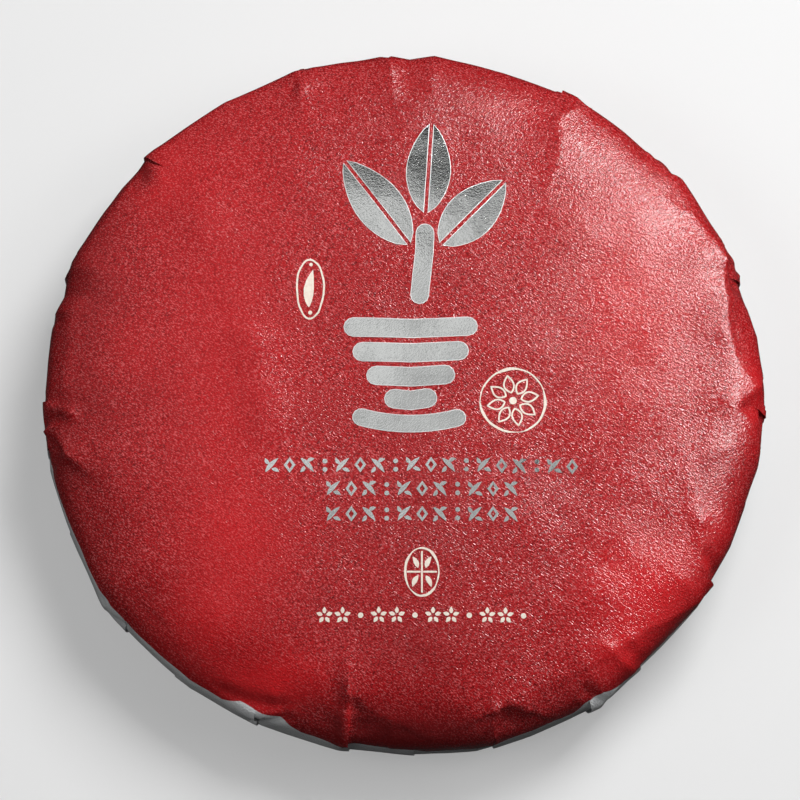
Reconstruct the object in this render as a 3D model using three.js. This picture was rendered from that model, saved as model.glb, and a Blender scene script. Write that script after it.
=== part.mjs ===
// A small pressed black tea cake in its paper: a flat round cushion of tea, shut in one
// sheet that is smooth over the crown, pleated over the rim, laid in overlapping folds
// under the base and tucked as a twisted knot into the hollow at the middle of the base.
// Millimetres. +Z is up. The origin is the middle of the base, where the cake rests.
// Angles are degrees, counter-clockwise from +X, as seen from above.
import * as THREE from "three";

// ---- Driving dimensions ----------------------------------------------------------------
const cakeRadius = 52.5;
const cakeHeight = 20;
const waistHeight = 8.4; // height of the widest girth
const crownDome = 0.8; // how far the middle of the crown swells above its flat
const crownExponent = 3.2; // 2 would be an ellipse; more makes a squarer shoulder
const baseExponent = 4;
const baseDepth = 9.2; // the base's curve, which the flat at height 0 cuts off
const baseSettle = 0.25; // mm that the base's paper is pressed flat by the cake's weight
const hollowRadius = 17;
const hollowFloorRadius = 8;
const hollowDepth = 4.5;
const knotTipHeight = 1.2;

// ---- Folds of the paper ----------------------------------------------------------------
const foldEdgeWidth = 0.5; // degrees over which a fold's edge drops from layer to layer
const foldLipDecay = 2.5; // mm over which the upper layer settles back behind its edge
const foldFootDecay = 5; // mm over which the lower layer rises again from the fold's foot
const foldFootShare = 0.65; // share of a fold's step that lies below the mean surface
const foldRiseLength = 4; // mm along the paper over which a fold comes up from nothing
const foldKnotFade = 6; // mm along the paper over which folds melt into the knot
const tautness = 0.7; // 0 leaves the rim round, 1 pulls it into straight chords
const rimCreaseRadius = 42; // crown radius where the rim's facets begin
const rimFacetRadius = 50; // crown radius where they are full
const baseTwist = 24; // degrees that the folds sweep round between the rim and the knot
const knotTwist = 70; // degrees more that they turn inside the knot
const knotRidges = 9;
const knotRidgeHeight = 0.35;
const knotRidgeEnd = 3; // mm along the paper from the knot's tip, where its ridges are full
const sweepStart = 4; // mm along the paper below the waist, where the folds begin to sweep
const crownFade = 4; // mm along the paper to either side of the waist, where crown relief fades
const facetFade = 6; // mm along the paper below the waist, where the rim's facets begin to fade
const creaseFadeIn = [-0.1, 0.15]; // shares of a crease's length over which it comes up
const creaseFadeOut = [0.5, 1.1]; // shares of its length over which it goes down
const unevenness = 0.22; // mm of slow swell from the pressed leaf under the paper

// Waves of that swell: each is a share of it, a sine times a cosine, whose radians per mm
// along x and along y and whose phase are given.
const leafWaves = [
  { share: 0.6, sine: [0.11, 0, 0.6], cosine: [0, 0.13, -0.4] },
  { share: 0.4, sine: [0.23, -0.19, 1.7], cosine: [0.08, 0.27, 0] },
];

// ---- Mesh ------------------------------------------------------------------------------
const columnPitch = 4.4; // degrees, the widest gap between two columns of vertices
const crownCentreRows = 8;
const shoulderRows = 7;
const rimRows = 13;
const baseRows = 7;
const knotRows = 7;
const crownRowsRadius = 36; // crown radius where the shoulder's closer rows begin
const shoulderRowsRadius = 49; // crown radius where the rim's rows begin
const fanSpreadRadius = 24; // inside this crown radius the columns are evenly spread
const meridianSamples = 400;
const tangentSamples = { before: 3, after: 2 }; // section points used for its direction

// ---- Finish ----------------------------------------------------------------------------
const paperColour = 0xa82a30;
const paperRoughness = 0.45;
const paperMetalness = 0.1;

// Each fold that crosses the rim: its place, the crown radius where it starts, its step
// in mm, and which side is the upper layer (+1 counter-clockwise, -1 clockwise).
const folds = [
  { angle: 8, start: 48, step: 0.3, upper: 1 },
  { angle: 19.5, start: 46, step: 0.65, upper: 1 },
  { angle: 33, start: 51, step: 0.3, upper: -1 },
  { angle: 43.5, start: 47, step: 0.6, upper: -1 },
  { angle: 64, start: 45, step: 0.7, upper: -1 },
  { angle: 82.5, start: 49, step: 0.5, upper: 1 },
  { angle: 91.5, start: 46, step: 0.4, upper: 1 },
  { angle: 106, start: 45, step: 0.5, upper: 1 },
  { angle: 121, start: 51, step: 0.3, upper: -1 },
  { angle: 136.5, start: 46, step: 0.65, upper: -1 },
  { angle: 148, start: 51, step: 0.3, upper: 1 },
  { angle: 160.5, start: 46, step: 0.75, upper: -1 },
  { angle: 170, start: 50, step: 0.3, upper: -1 },
  { angle: 181, start: 47, step: 0.45, upper: 1 },
  { angle: 188, start: 46, step: 0.35, upper: -1 },
  { angle: 202, start: 51, step: 0.3, upper: 1 },
  { angle: 220, start: 50, step: 0.35, upper: -1 },
  { angle: 231, start: 50, step: 0.3, upper: 1 },
  { angle: 246, start: 49, step: 0.45, upper: -1 },
  { angle: 260, start: 44, step: 0.45, upper: 1 },
  { angle: 272, start: 51, step: 0.3, upper: -1 },
  { angle: 285.5, start: 46, step: 0.55, upper: 1 },
  { angle: 301, start: 48, step: 0.5, upper: 1 },
  { angle: 311, start: 50, step: 0.4, upper: -1 },
  { angle: 328, start: 47, step: 0.8, upper: -1 },
  { angle: 343, start: 46, step: 0.4, upper: -1 },
  { angle: 357.5, start: 46, step: 0.4, upper: 1 },
];

// Corners of the taut outline: place, and mm proud of the cake's radius.
const outlineCorners = [
  { angle: 10, proud: 0.6 },
  { angle: 25, proud: 0.35 },
  { angle: 39, proud: 0.6 },
  { angle: 51, proud: -0.3 },
  { angle: 61, proud: 0.05 },
  { angle: 73, proud: -0.45 },
  { angle: 85, proud: 0 },
  { angle: 95, proud: -0.3 },
  { angle: 108, proud: -0.2 },
  { angle: 120, proud: 0.1 },
  { angle: 134, proud: 0.25 },
  { angle: 142, proud: 0.3 },
  { angle: 153, proud: 0 },
  { angle: 159.5, proud: 0.4 },
  { angle: 169, proud: 0.3 },
  { angle: 179, proud: 0.3 },
  { angle: 191, proud: 0.3 },
  { angle: 200, proud: 0 },
  { angle: 215, proud: 0.7 },
  { angle: 234, proud: 0.15 },
  { angle: 247, proud: -0.15 },
  { angle: 260, proud: 0 },
  { angle: 272, proud: 0 },
  { angle: 282, proud: 0.5 },
  { angle: 291, proud: 0.5 },
  { angle: 303, proud: 0.9 },
  { angle: 312, proud: 0 },
  { angle: 325, proud: -0.05 },
  { angle: 336, proud: -0.05 },
  { angle: 349, proud: 0.4 },
  { angle: 358, proud: 0.65 },
];

// Lens-shaped swellings where a fold stands off the rim: place, distance along the paper
// from the waist (up is negative), height, and half-sizes along the rim and across it.
const swellings = [
  { angle: 22.5, fromWaist: -3.5, height: 0.7, along: 1.5, across: 3.2 },
  { angle: 246, fromWaist: -3, height: 0.7, along: 4.2, across: 2.6 },
  { angle: 303, fromWaist: -2.5, height: 0.8, along: 2.6, across: 3 },
  { angle: 311, fromWaist: -5, height: 0.4, along: 1.6, across: 3 },
];

// Creases in the crown, from one point to another, in mm. A height below 0 is a valley.
const creases = [
  { from: [24.2, 43.5], to: [19, 22], height: -0.55, width: 1.5 },
  { from: [26.5, 42], to: [23.5, 31], height: 0.35, width: 1.6 },
  { from: [-14.4, 46.2], to: [-13.2, 33], height: 0.5, width: 1.5 },
  { from: [-16.8, 45.5], to: [-15.8, 36], height: -0.3, width: 1.5 },
  { from: [-0.8, 49.6], to: [-0.8, 42], height: 0.3, width: 1.4 },
  { from: [-35.9, 34.8], to: [-32.5, 21], height: 0.45, width: 2.2 },
  { from: [50.1, 1.1], to: [35.5, 3.4], height: 0.5, width: 1.4 },
  { from: [48.6, 3.9], to: [38.5, 5.8], height: -0.4, width: 1.4 },
  { from: [39.5, -26.2], to: [23.5, -18.4], height: 0.55, width: 2.5 },
  { from: [35.2, -34], to: [23.5, -27.9], height: 0.5, width: 2.5 },
  { from: [51, -8.8], to: [41, -11.2], height: -0.4, width: 1.5 },
  { from: [49.6, -17.5], to: [40, -20.6], height: -0.45, width: 1.6 },
  { from: [44, -28], to: [41, -20], height: 0.45, width: 1.3 },
  { from: [-7.3, -47.5], to: [-10.6, -36.5], height: -0.5, width: 1.8 },
  { from: [-8.2, -50], to: [-7.6, -39.5], height: 0.45, width: 1.1 },
  { from: [-4.8, -49.8], to: [-6.2, -40], height: -0.35, width: 1.3 },
  { from: [16.4, -46.5], to: [14, -41.8], height: 0.4, width: 1.2 },
  { from: [46.9, 16.7], to: [41.8, 15.4], height: -0.4, width: 1.2 },
  { from: [38.8, 35], to: [33.5, 31], height: -0.3, width: 1.8 },
  { from: [-49, -4.8], to: [-44, -9], height: 0.35, width: 1.4 },
  { from: [-25.5, 13.5], to: [-18.5, -4], height: 0.28, width: 3 },
  { from: [-18.5, -4], to: [-16, -10.5], height: 0.3, width: 2.2 },
];

const fullTurn = 360;
const radians = THREE.MathUtils.degToRad;
const smoothstep = THREE.MathUtils.smoothstep;
const lerp = THREE.MathUtils.lerp;

// ---- The round form under the folds ----------------------------------------------------

/** Distance from the waist's centre to a superellipse, at an angle from the upright. */
function superellipseReach(polar, height, exponent) {
  const across = Math.abs(Math.sin(polar) / cakeRadius) ** exponent;
  const upright = Math.abs(Math.cos(polar) / height) ** exponent;
  return (across + upright) ** (-1 / exponent);
}

/** Half section from the middle of the crown out to the waist. */
function crownPoints() {
  const height = cakeHeight - waistHeight - crownDome;
  return Array.from({ length: meridianSamples }, (_, i) => {
    const polar = (Math.PI / 2) * (i / meridianSamples);
    const reach = superellipseReach(polar, height, crownExponent);
    const radius = reach * Math.sin(polar);
    const dome = crownDome * (1 - (radius / cakeRadius) ** 2);
    return new THREE.Vector2(radius, waistHeight + reach * Math.cos(polar) + dome);
  });
}

/** Half section from the waist down to just under the flat that the cake rests on. */
function basePoints() {
  const drop = waistHeight + baseSettle;
  const flatRadius = cakeRadius * (1 - (drop / baseDepth) ** baseExponent) ** (1 / baseExponent);
  const lastPolar = Math.PI - Math.atan2(flatRadius, drop);
  return Array.from({ length: meridianSamples + 1 }, (_, i) => {
    const polar = lerp(Math.PI / 2, lastPolar, i / meridianSamples);
    const reach = superellipseReach(polar, baseDepth, baseExponent);
    return new THREE.Vector2(reach * Math.sin(polar), waistHeight + reach * Math.cos(polar));
  });
}

/** Half section across the hollow, and down over the knot of paper in its middle. */
function hollowPoints() {
  return Array.from({ length: meridianSamples + 1 }, (_, i) => {
    const radius = hollowRadius * (1 - i / meridianSamples);
    const wall = (hollowDepth + baseSettle) * (1 - smoothstep(radius, hollowFloorRadius, hollowRadius));
    const knot = (hollowDepth - knotTipHeight) * (1 - smoothstep(radius, 0, hollowFloorRadius));
    return new THREE.Vector2(radius, wall - knot - baseSettle);
  });
}

/** The whole half section, with the distance along the paper at each of its points. */
function makeMeridian() {
  const points = [...crownPoints(), ...basePoints(), ...hollowPoints()];
  const lengths = [0];
  for (let i = 1; i < points.length; i++) {
    lengths.push(lengths[i - 1] + points[i].distanceTo(points[i - 1]));
  }
  return { points, lengths };
}

const meridian = makeMeridian();
const waistLength = meridian.lengths[meridianSamples];
const flatLength = meridian.lengths[2 * meridianSamples];
const hollowLength = meridian.lengths[2 * meridianSamples + 1];
const paperLength = meridian.lengths.at(-1);

/** Distance along the paper from the middle of the crown to a radius on the crown. */
function crownLength(radius) {
  const index = meridian.points.findIndex((point) => point.x >= radius);
  return meridian.lengths[index];
}

/** Radius, height and outward normal of the half section, a distance along the paper. */
function sectionAt(length) {
  const { points, lengths } = meridian;
  const found = lengths.findIndex((value) => value >= length);
  const index = THREE.MathUtils.clamp(found, 1, points.length - 1);
  const share = (length - lengths[index - 1]) / (lengths[index] - lengths[index - 1]);
  const point = points[index - 1].clone().lerp(points[index], share);
  const before = points[Math.max(index - tangentSamples.before, 0)];
  const after = points[Math.min(index + tangentSamples.after, points.length - 1)];
  const along = after.clone().sub(before).normalize();
  return { radius: point.x, height: point.y, outward: -along.y, upward: along.x };
}

// ---- The folds, as heights along the outward normal --------------------------------------

/** Signed difference of two angles in degrees, from -180 to 180. */
function turnBetween(angle, other) {
  return THREE.MathUtils.euclideanModulo(angle - other + fullTurn / 2, fullTurn) - fullTurn / 2;
}

/** Height that one fold's two layers add beside its edge. */
function foldHeight(fold, angle, length, radius) {
  const start = crownLength(fold.start);
  const rise = smoothstep(length, start, start + foldRiseLength);
  const fade = 1 - smoothstep(length, paperLength - 2 * foldKnotFade, paperLength - foldKnotFade);
  const away = radians(turnBetween(angle, fold.angle) * fold.upper) * radius;
  const lip = (1 - foldFootShare) * Math.exp(-away / foldLipDecay);
  const foot = -foldFootShare * Math.exp(away / foldFootDecay);
  return fold.step * rise * fade * (away > 0 ? lip : foot);
}

/** Height of the outline over the round rim, where taut paper runs corner to corner. */
function outlineHeight(angle) {
  const after = outlineCorners.findIndex((corner) => corner.angle > angle);
  const nextIndex = after < 0 ? 0 : after;
  const next = outlineCorners[nextIndex];
  const last = outlineCorners.at(nextIndex - 1);
  const span = THREE.MathUtils.euclideanModulo(next.angle - last.angle, fullTurn);
  const done = THREE.MathUtils.euclideanModulo(angle - last.angle, fullTurn);
  const share = done / span;
  const chord = Math.cos(radians(span / 2)) / Math.cos(radians(done - span / 2));
  const sag = cakeRadius * (1 - chord) * tautness;
  return lerp(last.proud, next.proud, share) - sag;
}

/** Height of a lens-shaped swelling on the rim. */
function swellingHeight(swelling, angle, length) {
  const along = (radians(turnBetween(angle, swelling.angle)) * cakeRadius) / swelling.along;
  const across = (length - waistLength - swelling.fromWaist) / swelling.across;
  return swelling.height * Math.exp(-(along ** 2) - across ** 2);
}

/** Height of a crease in the crown, soft at both ends. */
function creaseHeight(crease, x, y) {
  const from = new THREE.Vector2(...crease.from);
  const run = new THREE.Vector2(...crease.to).sub(from);
  const offset = new THREE.Vector2(x, y).sub(from);
  const share = offset.dot(run) / run.lengthSq();
  const aside = offset.cross(run) / run.length();
  const ends = smoothstep(share, ...creaseFadeIn) * (1 - smoothstep(share, ...creaseFadeOut));
  return crease.height * ends * Math.exp(-((aside / crease.width) ** 2));
}

/** Sum of a list of numbers. */
function total(values) {
  return values.reduce((sum, value) => sum + value, 0);
}

/** Slow swell of the pressed leaf under the paper. */
function leafSwell(x, y) {
  const phaseAt = ([alongX, alongY, phase]) => x * alongX + y * alongY + phase;
  const waves = leafWaves.map(
    ({ share, sine, cosine }) => share * Math.sin(phaseAt(sine)) * Math.cos(phaseAt(cosine)),
  );
  return unevenness * total(waves);
}

/** All heights at one place on the paper. */
function paperHeight(angle, length, section, turned) {
  const x = section.radius * Math.cos(radians(turned));
  const y = section.radius * Math.sin(radians(turned));
  const onCrown = 1 - smoothstep(length, waistLength - crownFade, waistLength + crownFade);
  const onRim =
    smoothstep(length, crownLength(rimCreaseRadius), crownLength(rimFacetRadius)) *
    (1 - smoothstep(length, waistLength + facetFade, flatLength));
  const inKnot = smoothstep(length, paperLength - hollowFloorRadius, paperLength - knotRidgeEnd);
  const ridge = knotRidgeHeight * inKnot * Math.cos(radians(angle * knotRidges));
  return (
    onCrown * (leafSwell(x, y) + total(creases.map((crease) => creaseHeight(crease, x, y)))) +
    onRim * outlineHeight(angle) +
    total(folds.map((fold) => foldHeight(fold, angle, length, section.radius))) +
    total(swellings.map((swelling) => swellingHeight(swelling, angle, length))) +
    ridge
  );
}

// ---- Mesh ------------------------------------------------------------------------------

/** Angles of the columns of vertices: two at each fold's edge, and even ones between. */
function columnAngles() {
  const angles = [];
  folds.forEach((fold, index) => {
    const next = folds[(index + 1) % folds.length];
    const first = fold.angle + foldEdgeWidth / 2;
    const gap = THREE.MathUtils.euclideanModulo(next.angle - fold.angle, fullTurn) - foldEdgeWidth;
    const steps = Math.ceil(gap / columnPitch);
    for (let i = 0; i <= steps; i++) {
      angles.push(first + (gap * i) / steps);
    }
  });
  return angles;
}

/** Distances along the paper of the rows of vertices, without the two middle points. */
function rowLengths() {
  const bands = [
    { to: crownLength(crownRowsRadius), rows: crownCentreRows },
    { to: crownLength(shoulderRowsRadius), rows: shoulderRows },
    { to: flatLength, rows: rimRows },
    { to: hollowLength, rows: baseRows },
    { to: paperLength, rows: knotRows },
  ];
  const lengths = [];
  let from = 0;
  for (const band of bands) {
    for (let i = 1; i <= band.rows; i++) {
      lengths.push(lerp(from, band.to, i / band.rows));
    }
    from = band.to;
  }
  return lengths.slice(0, -1);
}

/** Degrees that the paper has been swept round, a distance along it. */
function sweep(length) {
  const underBase = smoothstep(length, waistLength + sweepStart, hollowLength);
  const inKnot = smoothstep(length, hollowLength, paperLength);
  return baseTwist * underBase + knotTwist * inKnot;
}

/** One vertex of the paper's surface. No point of it is lower than the table. */
function paperPoint(angle, evenAngle, length) {
  const section = sectionAt(length);
  const spread = smoothstep(length, fanSpreadRadius, crownLength(rimCreaseRadius));
  const onKnot = smoothstep(length, hollowLength, paperLength);
  const drift = turnBetween(angle, evenAngle) * spread * (1 - onKnot);
  const own = evenAngle + drift;
  const turned = own + sweep(length);
  const height = paperHeight(own, length, section, turned);
  const radius = section.radius + height * section.outward;
  return new THREE.Vector3(
    radius * Math.cos(radians(turned)),
    radius * Math.sin(radians(turned)),
    Math.max(0, section.height + height * section.upward),
  );
}

/**
 * Closed surface of the wrapped cake: a grid of rows and columns with a point at each end,
 * set so that the origin is under the middle of its outline.
 */
function wrappedCakeGeometry() {
  const angles = columnAngles();
  const rows = rowLengths();
  const columns = angles.length;
  const middle = new THREE.Vector3(0, 0, cakeHeight + leafSwell(0, 0));
  const points = [middle];
  for (const length of rows) {
    angles.forEach((angle, column) => {
      const evenAngle = angles[0] + (fullTurn * column) / columns;
      points.push(paperPoint(angle, evenAngle, length));
    });
  }
  points.push(new THREE.Vector3(0, 0, knotTipHeight));
  const at = (row, column) => 1 + row * columns + (column % columns);
  const faces = [];
  for (let column = 0; column < columns; column++) {
    faces.push(0, at(0, column), at(0, column + 1));
    for (let row = 0; row < rows.length - 1; row++) {
      faces.push(at(row, column), at(row + 1, column), at(row + 1, column + 1));
      faces.push(at(row, column), at(row + 1, column + 1), at(row, column + 1));
    }
    faces.push(at(rows.length - 1, column), points.length - 1, at(rows.length - 1, column + 1));
  }
  const geometry = new THREE.BufferGeometry().setFromPoints(points);
  geometry.setIndex(faces);
  geometry.computeBoundingBox();
  const centre = geometry.boundingBox.getCenter(new THREE.Vector3());
  geometry.translate(-centre.x, -centre.y, 0);
  geometry.computeVertexNormals();
  return geometry;
}

const redPaper = new THREE.MeshStandardMaterial({
  color: paperColour,
  roughness: paperRoughness,
  metalness: paperMetalness,
});
const cake = new THREE.Mesh(wrappedCakeGeometry(), redPaper);
cake.name = "wrapped_tea_cake";

const part = new THREE.Group();
part.add(cake);

export default part;
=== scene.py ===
"""A small black tea cake in its printed paper, lying face up on a pale table.

One sheet of paper is drawn smooth over the crown, pleated over the rim, laid in
overlapping folds under the base and tucked as a twisted knot into the hollow there.
Its face is printed red, with stamped foil and inked ornaments on the crown.

Sizes are millimetres and degrees, counter-clockwise from +X as seen from above, and
meshes are metres. A reach is a distance along the paper from the middle of the crown.
"""

import logging
import math
from dataclasses import dataclass, field
from enum import Enum

import bpy
import numpy as np
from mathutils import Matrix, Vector, noise


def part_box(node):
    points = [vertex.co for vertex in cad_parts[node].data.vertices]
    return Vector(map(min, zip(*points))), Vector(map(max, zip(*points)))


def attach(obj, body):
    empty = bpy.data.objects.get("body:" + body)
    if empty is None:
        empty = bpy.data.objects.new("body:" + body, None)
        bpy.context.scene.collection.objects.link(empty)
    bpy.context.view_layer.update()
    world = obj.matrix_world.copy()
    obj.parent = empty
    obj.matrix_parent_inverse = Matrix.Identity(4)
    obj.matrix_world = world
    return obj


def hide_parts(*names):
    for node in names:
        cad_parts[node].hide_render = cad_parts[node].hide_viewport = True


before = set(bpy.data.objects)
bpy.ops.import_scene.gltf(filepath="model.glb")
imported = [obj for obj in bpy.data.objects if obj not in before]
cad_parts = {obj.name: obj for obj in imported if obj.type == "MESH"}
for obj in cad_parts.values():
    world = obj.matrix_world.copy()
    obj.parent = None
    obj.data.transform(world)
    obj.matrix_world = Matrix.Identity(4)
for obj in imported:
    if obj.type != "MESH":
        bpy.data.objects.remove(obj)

LOG = logging.getLogger("tea_cake")
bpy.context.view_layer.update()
CAKE_NODE = "wrapped_tea_cake"
BODY = "root"
MM = 0.001
FULL_TURN = 360.0
MERGE_DISTANCE = 1e-7

Array = np.ndarray
Pair = tuple[float, float]
Triple = tuple[float, float, float]
Piece = bpy.types.Object
Finish = bpy.types.Material
Socket = bpy.types.NodeSocket


# ---- Small helpers ---------------------------------------------------------------------


def smoothstep(value: Array, low: float, high: float) -> Array:
    """Smooth ramp from 0 at low to 1 at high.

    Args:
        value: Numbers to map.
        low: Where the ramp starts.
        high: Where it ends.

    Returns:
        Numbers from 0 to 1.
    """
    share = np.clip((np.asarray(value, float) - low) / (high - low), 0.0, 1.0)
    return share * share * (3.0 - 2.0 * share)


def turn_between(angle: Array, other: float) -> Array:
    """Signed difference of two angles in degrees, from -180 to 180."""
    return np.mod(angle - other + FULL_TURN / 2, FULL_TURN) - FULL_TURN / 2


def periodic(angle: Array, places: Array, values: Array) -> Array:
    """Straight interpolation round the circle between values at given angles."""
    return np.interp(np.mod(angle, FULL_TURN), places, values, period=FULL_TURN)


def clear_selection() -> None:
    """Leaves object mode and deselects every object."""
    if bpy.context.object and bpy.context.object.mode != "OBJECT":
        bpy.ops.object.mode_set(mode="OBJECT")
    bpy.ops.object.select_all(action="DESELECT")


def choose(obj: Piece) -> None:
    """Makes one object the only one selected, and active.

    Args:
        obj: The object.
    """
    clear_selection()
    obj.select_set(True)
    bpy.context.view_layer.objects.active = obj


def edit_all() -> None:
    """Opens the active mesh for editing with all of it selected."""
    bpy.ops.object.mode_set(mode="EDIT")
    bpy.ops.mesh.select_all(action="SELECT")


def set_points(obj: Piece, points: Array) -> None:
    """Moves all vertices of a mesh object.

    Args:
        obj: The mesh object.
        points: An array of one row of x, y, z for each vertex, in metres.
    """
    obj.data.vertices.foreach_set("co", np.asarray(points, np.float32).ravel())
    obj.data.update()


def get_points(obj: Piece) -> Array:
    """Vertices of a mesh object.

    Args:
        obj: The mesh object.

    Returns:
        One row of x, y, z for each vertex, in metres.
    """
    flat = np.empty(len(obj.data.vertices) * 3, np.float32)
    obj.data.vertices.foreach_get("co", flat)
    return flat.reshape(-1, 3).astype(float)


def finish_piece(obj: Piece, name: str) -> None:
    """Names a finished piece, ties it to the cake's body and reports it.

    Args:
        obj: The piece.
        name: Its name.
    """
    obj.name = name
    obj.data.name = name
    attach(obj, BODY)
    LOG.info("%s: %d faces", name, len(obj.data.polygons))


# ---- The round form under the folds ----------------------------------------------------


@dataclass(frozen=True)
class Meridian:
    """Half section of the cake, from the middle of the crown to the middle of the base."""

    radius: float = 52.5
    height: float = 20.0
    waist_height: float = 8.4
    crown_dome: float = 0.8
    crown_exponent: float = 3.2
    base_exponent: float = 4.0
    base_depth: float = 9.2
    base_settle: float = 0.25
    hollow_radius: float = 17.0
    hollow_floor_radius: float = 8.0
    hollow_depth: float = 4.5
    knot_tip_height: float = 1.2
    blur: float = 0.4
    samples: int = 800
    points: Array = field(init=False, repr=False)
    reaches: Array = field(init=False, repr=False)

    def __post_init__(self) -> None:
        """Works out the section's points and the reach of each."""
        points = np.vstack([self._crown(), self._base(), self._hollow()])
        steps = np.hypot(*np.diff(points, axis=0).T)
        kept = np.concatenate([[True], steps > 0])
        reaches = np.concatenate([[0.0], np.cumsum(steps)])
        object.__setattr__(self, "points", points[kept])
        object.__setattr__(self, "reaches", reaches[kept])

    def _superellipse(self, polar: Array, height: float, exponent: float) -> Array:
        """Points of a superellipse round the waist's centre.

        Args:
            polar: Angles from the upright, in radians.
            height: Its half height.
            exponent: How square it is.

        Returns:
            One row of radius and height for each angle.
        """
        across = np.abs(np.sin(polar) / self.radius) ** exponent
        upright = np.abs(np.cos(polar) / height) ** exponent
        distance = (across + upright) ** (-1.0 / exponent)
        return np.column_stack([distance * np.sin(polar), self.waist_height + distance * np.cos(polar)])

    def _crown(self) -> Array:
        """Half section from the middle of the crown out to the waist.

        Returns:
            One row of radius and height for each point.
        """
        polar = np.linspace(0.0, math.pi / 2, self.samples, endpoint=False)
        rise = self.height - self.waist_height - self.crown_dome
        points = self._superellipse(polar, rise, self.crown_exponent)
        points[:, 1] += self.crown_dome * (1.0 - (points[:, 0] / self.radius) ** 2)
        return points

    @property
    def flat_radius(self) -> float:
        """Radius at which the base's curve meets the flat that the cake rests on."""
        drop = (self.waist_height + self.base_settle) / self.base_depth
        return self.radius * (1.0 - drop**self.base_exponent) ** (1.0 / self.base_exponent)

    def _base(self) -> Array:
        """Half section from the waist down to just under the flat.

        Returns:
            One row of radius and height for each point.
        """
        drop = self.waist_height + self.base_settle
        last = math.pi - math.atan2(self.flat_radius, drop)
        polar = np.linspace(math.pi / 2, last, self.samples + 1)
        return self._superellipse(polar, self.base_depth, self.base_exponent)

    def _hollow(self) -> Array:
        """Half section across the hollow and down over the knot of paper in it.

        Returns:
            One row of radius and height for each point.
        """
        radius = np.linspace(self.hollow_radius, 0.0, self.samples + 1)
        into = 1.0 - smoothstep(radius, self.hollow_floor_radius, self.hollow_radius)
        onto = 1.0 - smoothstep(radius, 0.0, self.hollow_floor_radius)
        wall = (self.hollow_depth + self.base_settle) * into
        knot = (self.hollow_depth - self.knot_tip_height) * onto
        return np.column_stack([radius, wall - knot - self.base_settle])

    @property
    def waist(self) -> float:
        """Reach of the widest girth."""
        return float(self.reaches[self.samples])

    @property
    def flat(self) -> float:
        """Reach at which the paper comes to the table."""
        return float(self.reaches[2 * self.samples])

    @property
    def hollow(self) -> float:
        """Reach of the hollow's edge."""
        return float(self.reaches[2 * self.samples + 1])

    @property
    def end(self) -> float:
        """Reach of the tip of the knot."""
        return float(self.reaches[-1])

    def crown_reach(self, radius: float) -> float:
        """Reach of a radius on the crown."""
        index = int(np.argmax(self.points[:, 0] >= radius))
        return float(self.reaches[index])

    def _place(self, reach: Array) -> tuple[Array, Array]:
        """Radius and height at each reach."""
        return tuple(np.interp(reach, self.reaches, values) for values in self.points.T)

    def at(self, reach: Array) -> tuple[Array, Array, Array, Array]:
        """Place and direction of the section.

        Args:
            reach: Distances along the paper.

        Returns:
            Radius, height, and the outward and upward parts of the normal.
        """
        radius, height = self._place(reach)
        before = self._place(np.maximum(reach - self.blur, 0.0))
        after = self._place(np.minimum(reach + self.blur, self.end))
        out, up = after[0] - before[0], after[1] - before[1]
        size = np.maximum(np.hypot(out, up), 1e-9)
        return radius, height, -up / size, out / size


# ---- Relief of the paper ---------------------------------------------------------------


class Upper(Enum):
    """Which side of a fold's edge is the upper layer."""

    LEFT = 1
    RIGHT = -1


class Line(Enum):
    """How the top of a crease is drawn: rounded, or as a sharp fold line."""

    SOFT = "soft"
    SHARP = "sharp"


class Ends(Enum):
    """How a crease stops: even to both ends, fading from its start, or fading to both."""

    EVEN = "even"
    FADING = "fading"
    LENS = "lens"


@dataclass(frozen=True)
class Fold:
    """A pleat that runs from the rim to the knot.

    Fields are its place in degrees, the reach where it starts, its step on the rim and
    under the base, and its upper side.
    """

    angle: float
    start: float
    rim_step: float
    base_step: float
    upper: Upper


@dataclass(frozen=True)
class Swelling:
    """A lens-shaped swell or dip of the paper, placed by angle and distance below the waist."""

    angle: float
    below_waist: float
    height: float
    along: float
    across: float


@dataclass(frozen=True)
class Crease:
    """A crease through points given by angle and distance below the waist.

    A height below 0 is a valley. Its flanks are the widths of its left and right sides,
    looking along it.
    """

    path: tuple[Pair, ...]
    height: float
    flanks: Pair
    line: Line = Line.SOFT
    ends: Ends = Ends.EVEN


@dataclass(frozen=True)
class PaintedLightSpot:
    """A broad soft patch of painted light on the red print, and of painted shade where its strength is below
    0.

    Fields are its place, its half widths and its strength.
    """

    x: float
    y: float
    half_x: float
    half_y: float
    strength: float


def rim_folds(meridian: Meridian) -> list[Fold]:
    """The pleats that start at the crown's edge or on the rim.

    Args:
        meridian: The cake's section.

    Returns:
        The pleats, each with its start given as a reach.
    """
    left, right = Upper.LEFT, Upper.RIGHT
    least_base_step = 0.45
    rows = (
        (8, -1, 0.12, left), (19.5, -7.4, 0.38, left), (33, -2, 0.14, right),
        (43.5, -3.5, 0.4, right), (62.6, -7, 0.4, right), (82.5, -1, 0.14, left),
        (91.5, -3, 0.24, left), (106, -4.5, 0.35, left), (121, -1, 0.12, right),
        (135.8, -9.5, 0.5, right), (148, -1, 0.14, left), (159.4, -5, 0.4, right),
        (170, -2, 0.16, right), (181, -5.5, 0.4, left), (188.6, -5, 0.25, right),
        (202, -2, 0.16, left), (220, -3.5, 0.3, right), (231, -1, 0.14, left),
        (246, -5, 0.4, right), (261.4, -8, 0.32, right), (272, -3, 0.2, right),
        (285, -5, 0.4, left), (301, -5, 0.45, left), (311, -3, 0.35, right),
        (328, -6.5, 0.6, right), (343, -2, 0.18, right), (357.5, -6, 0.4, left),
    )
    return [
        Fold(angle, meridian.waist + below, step, max(step, least_base_step), upper)
        for angle, below, step, upper in rows
    ]


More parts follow.
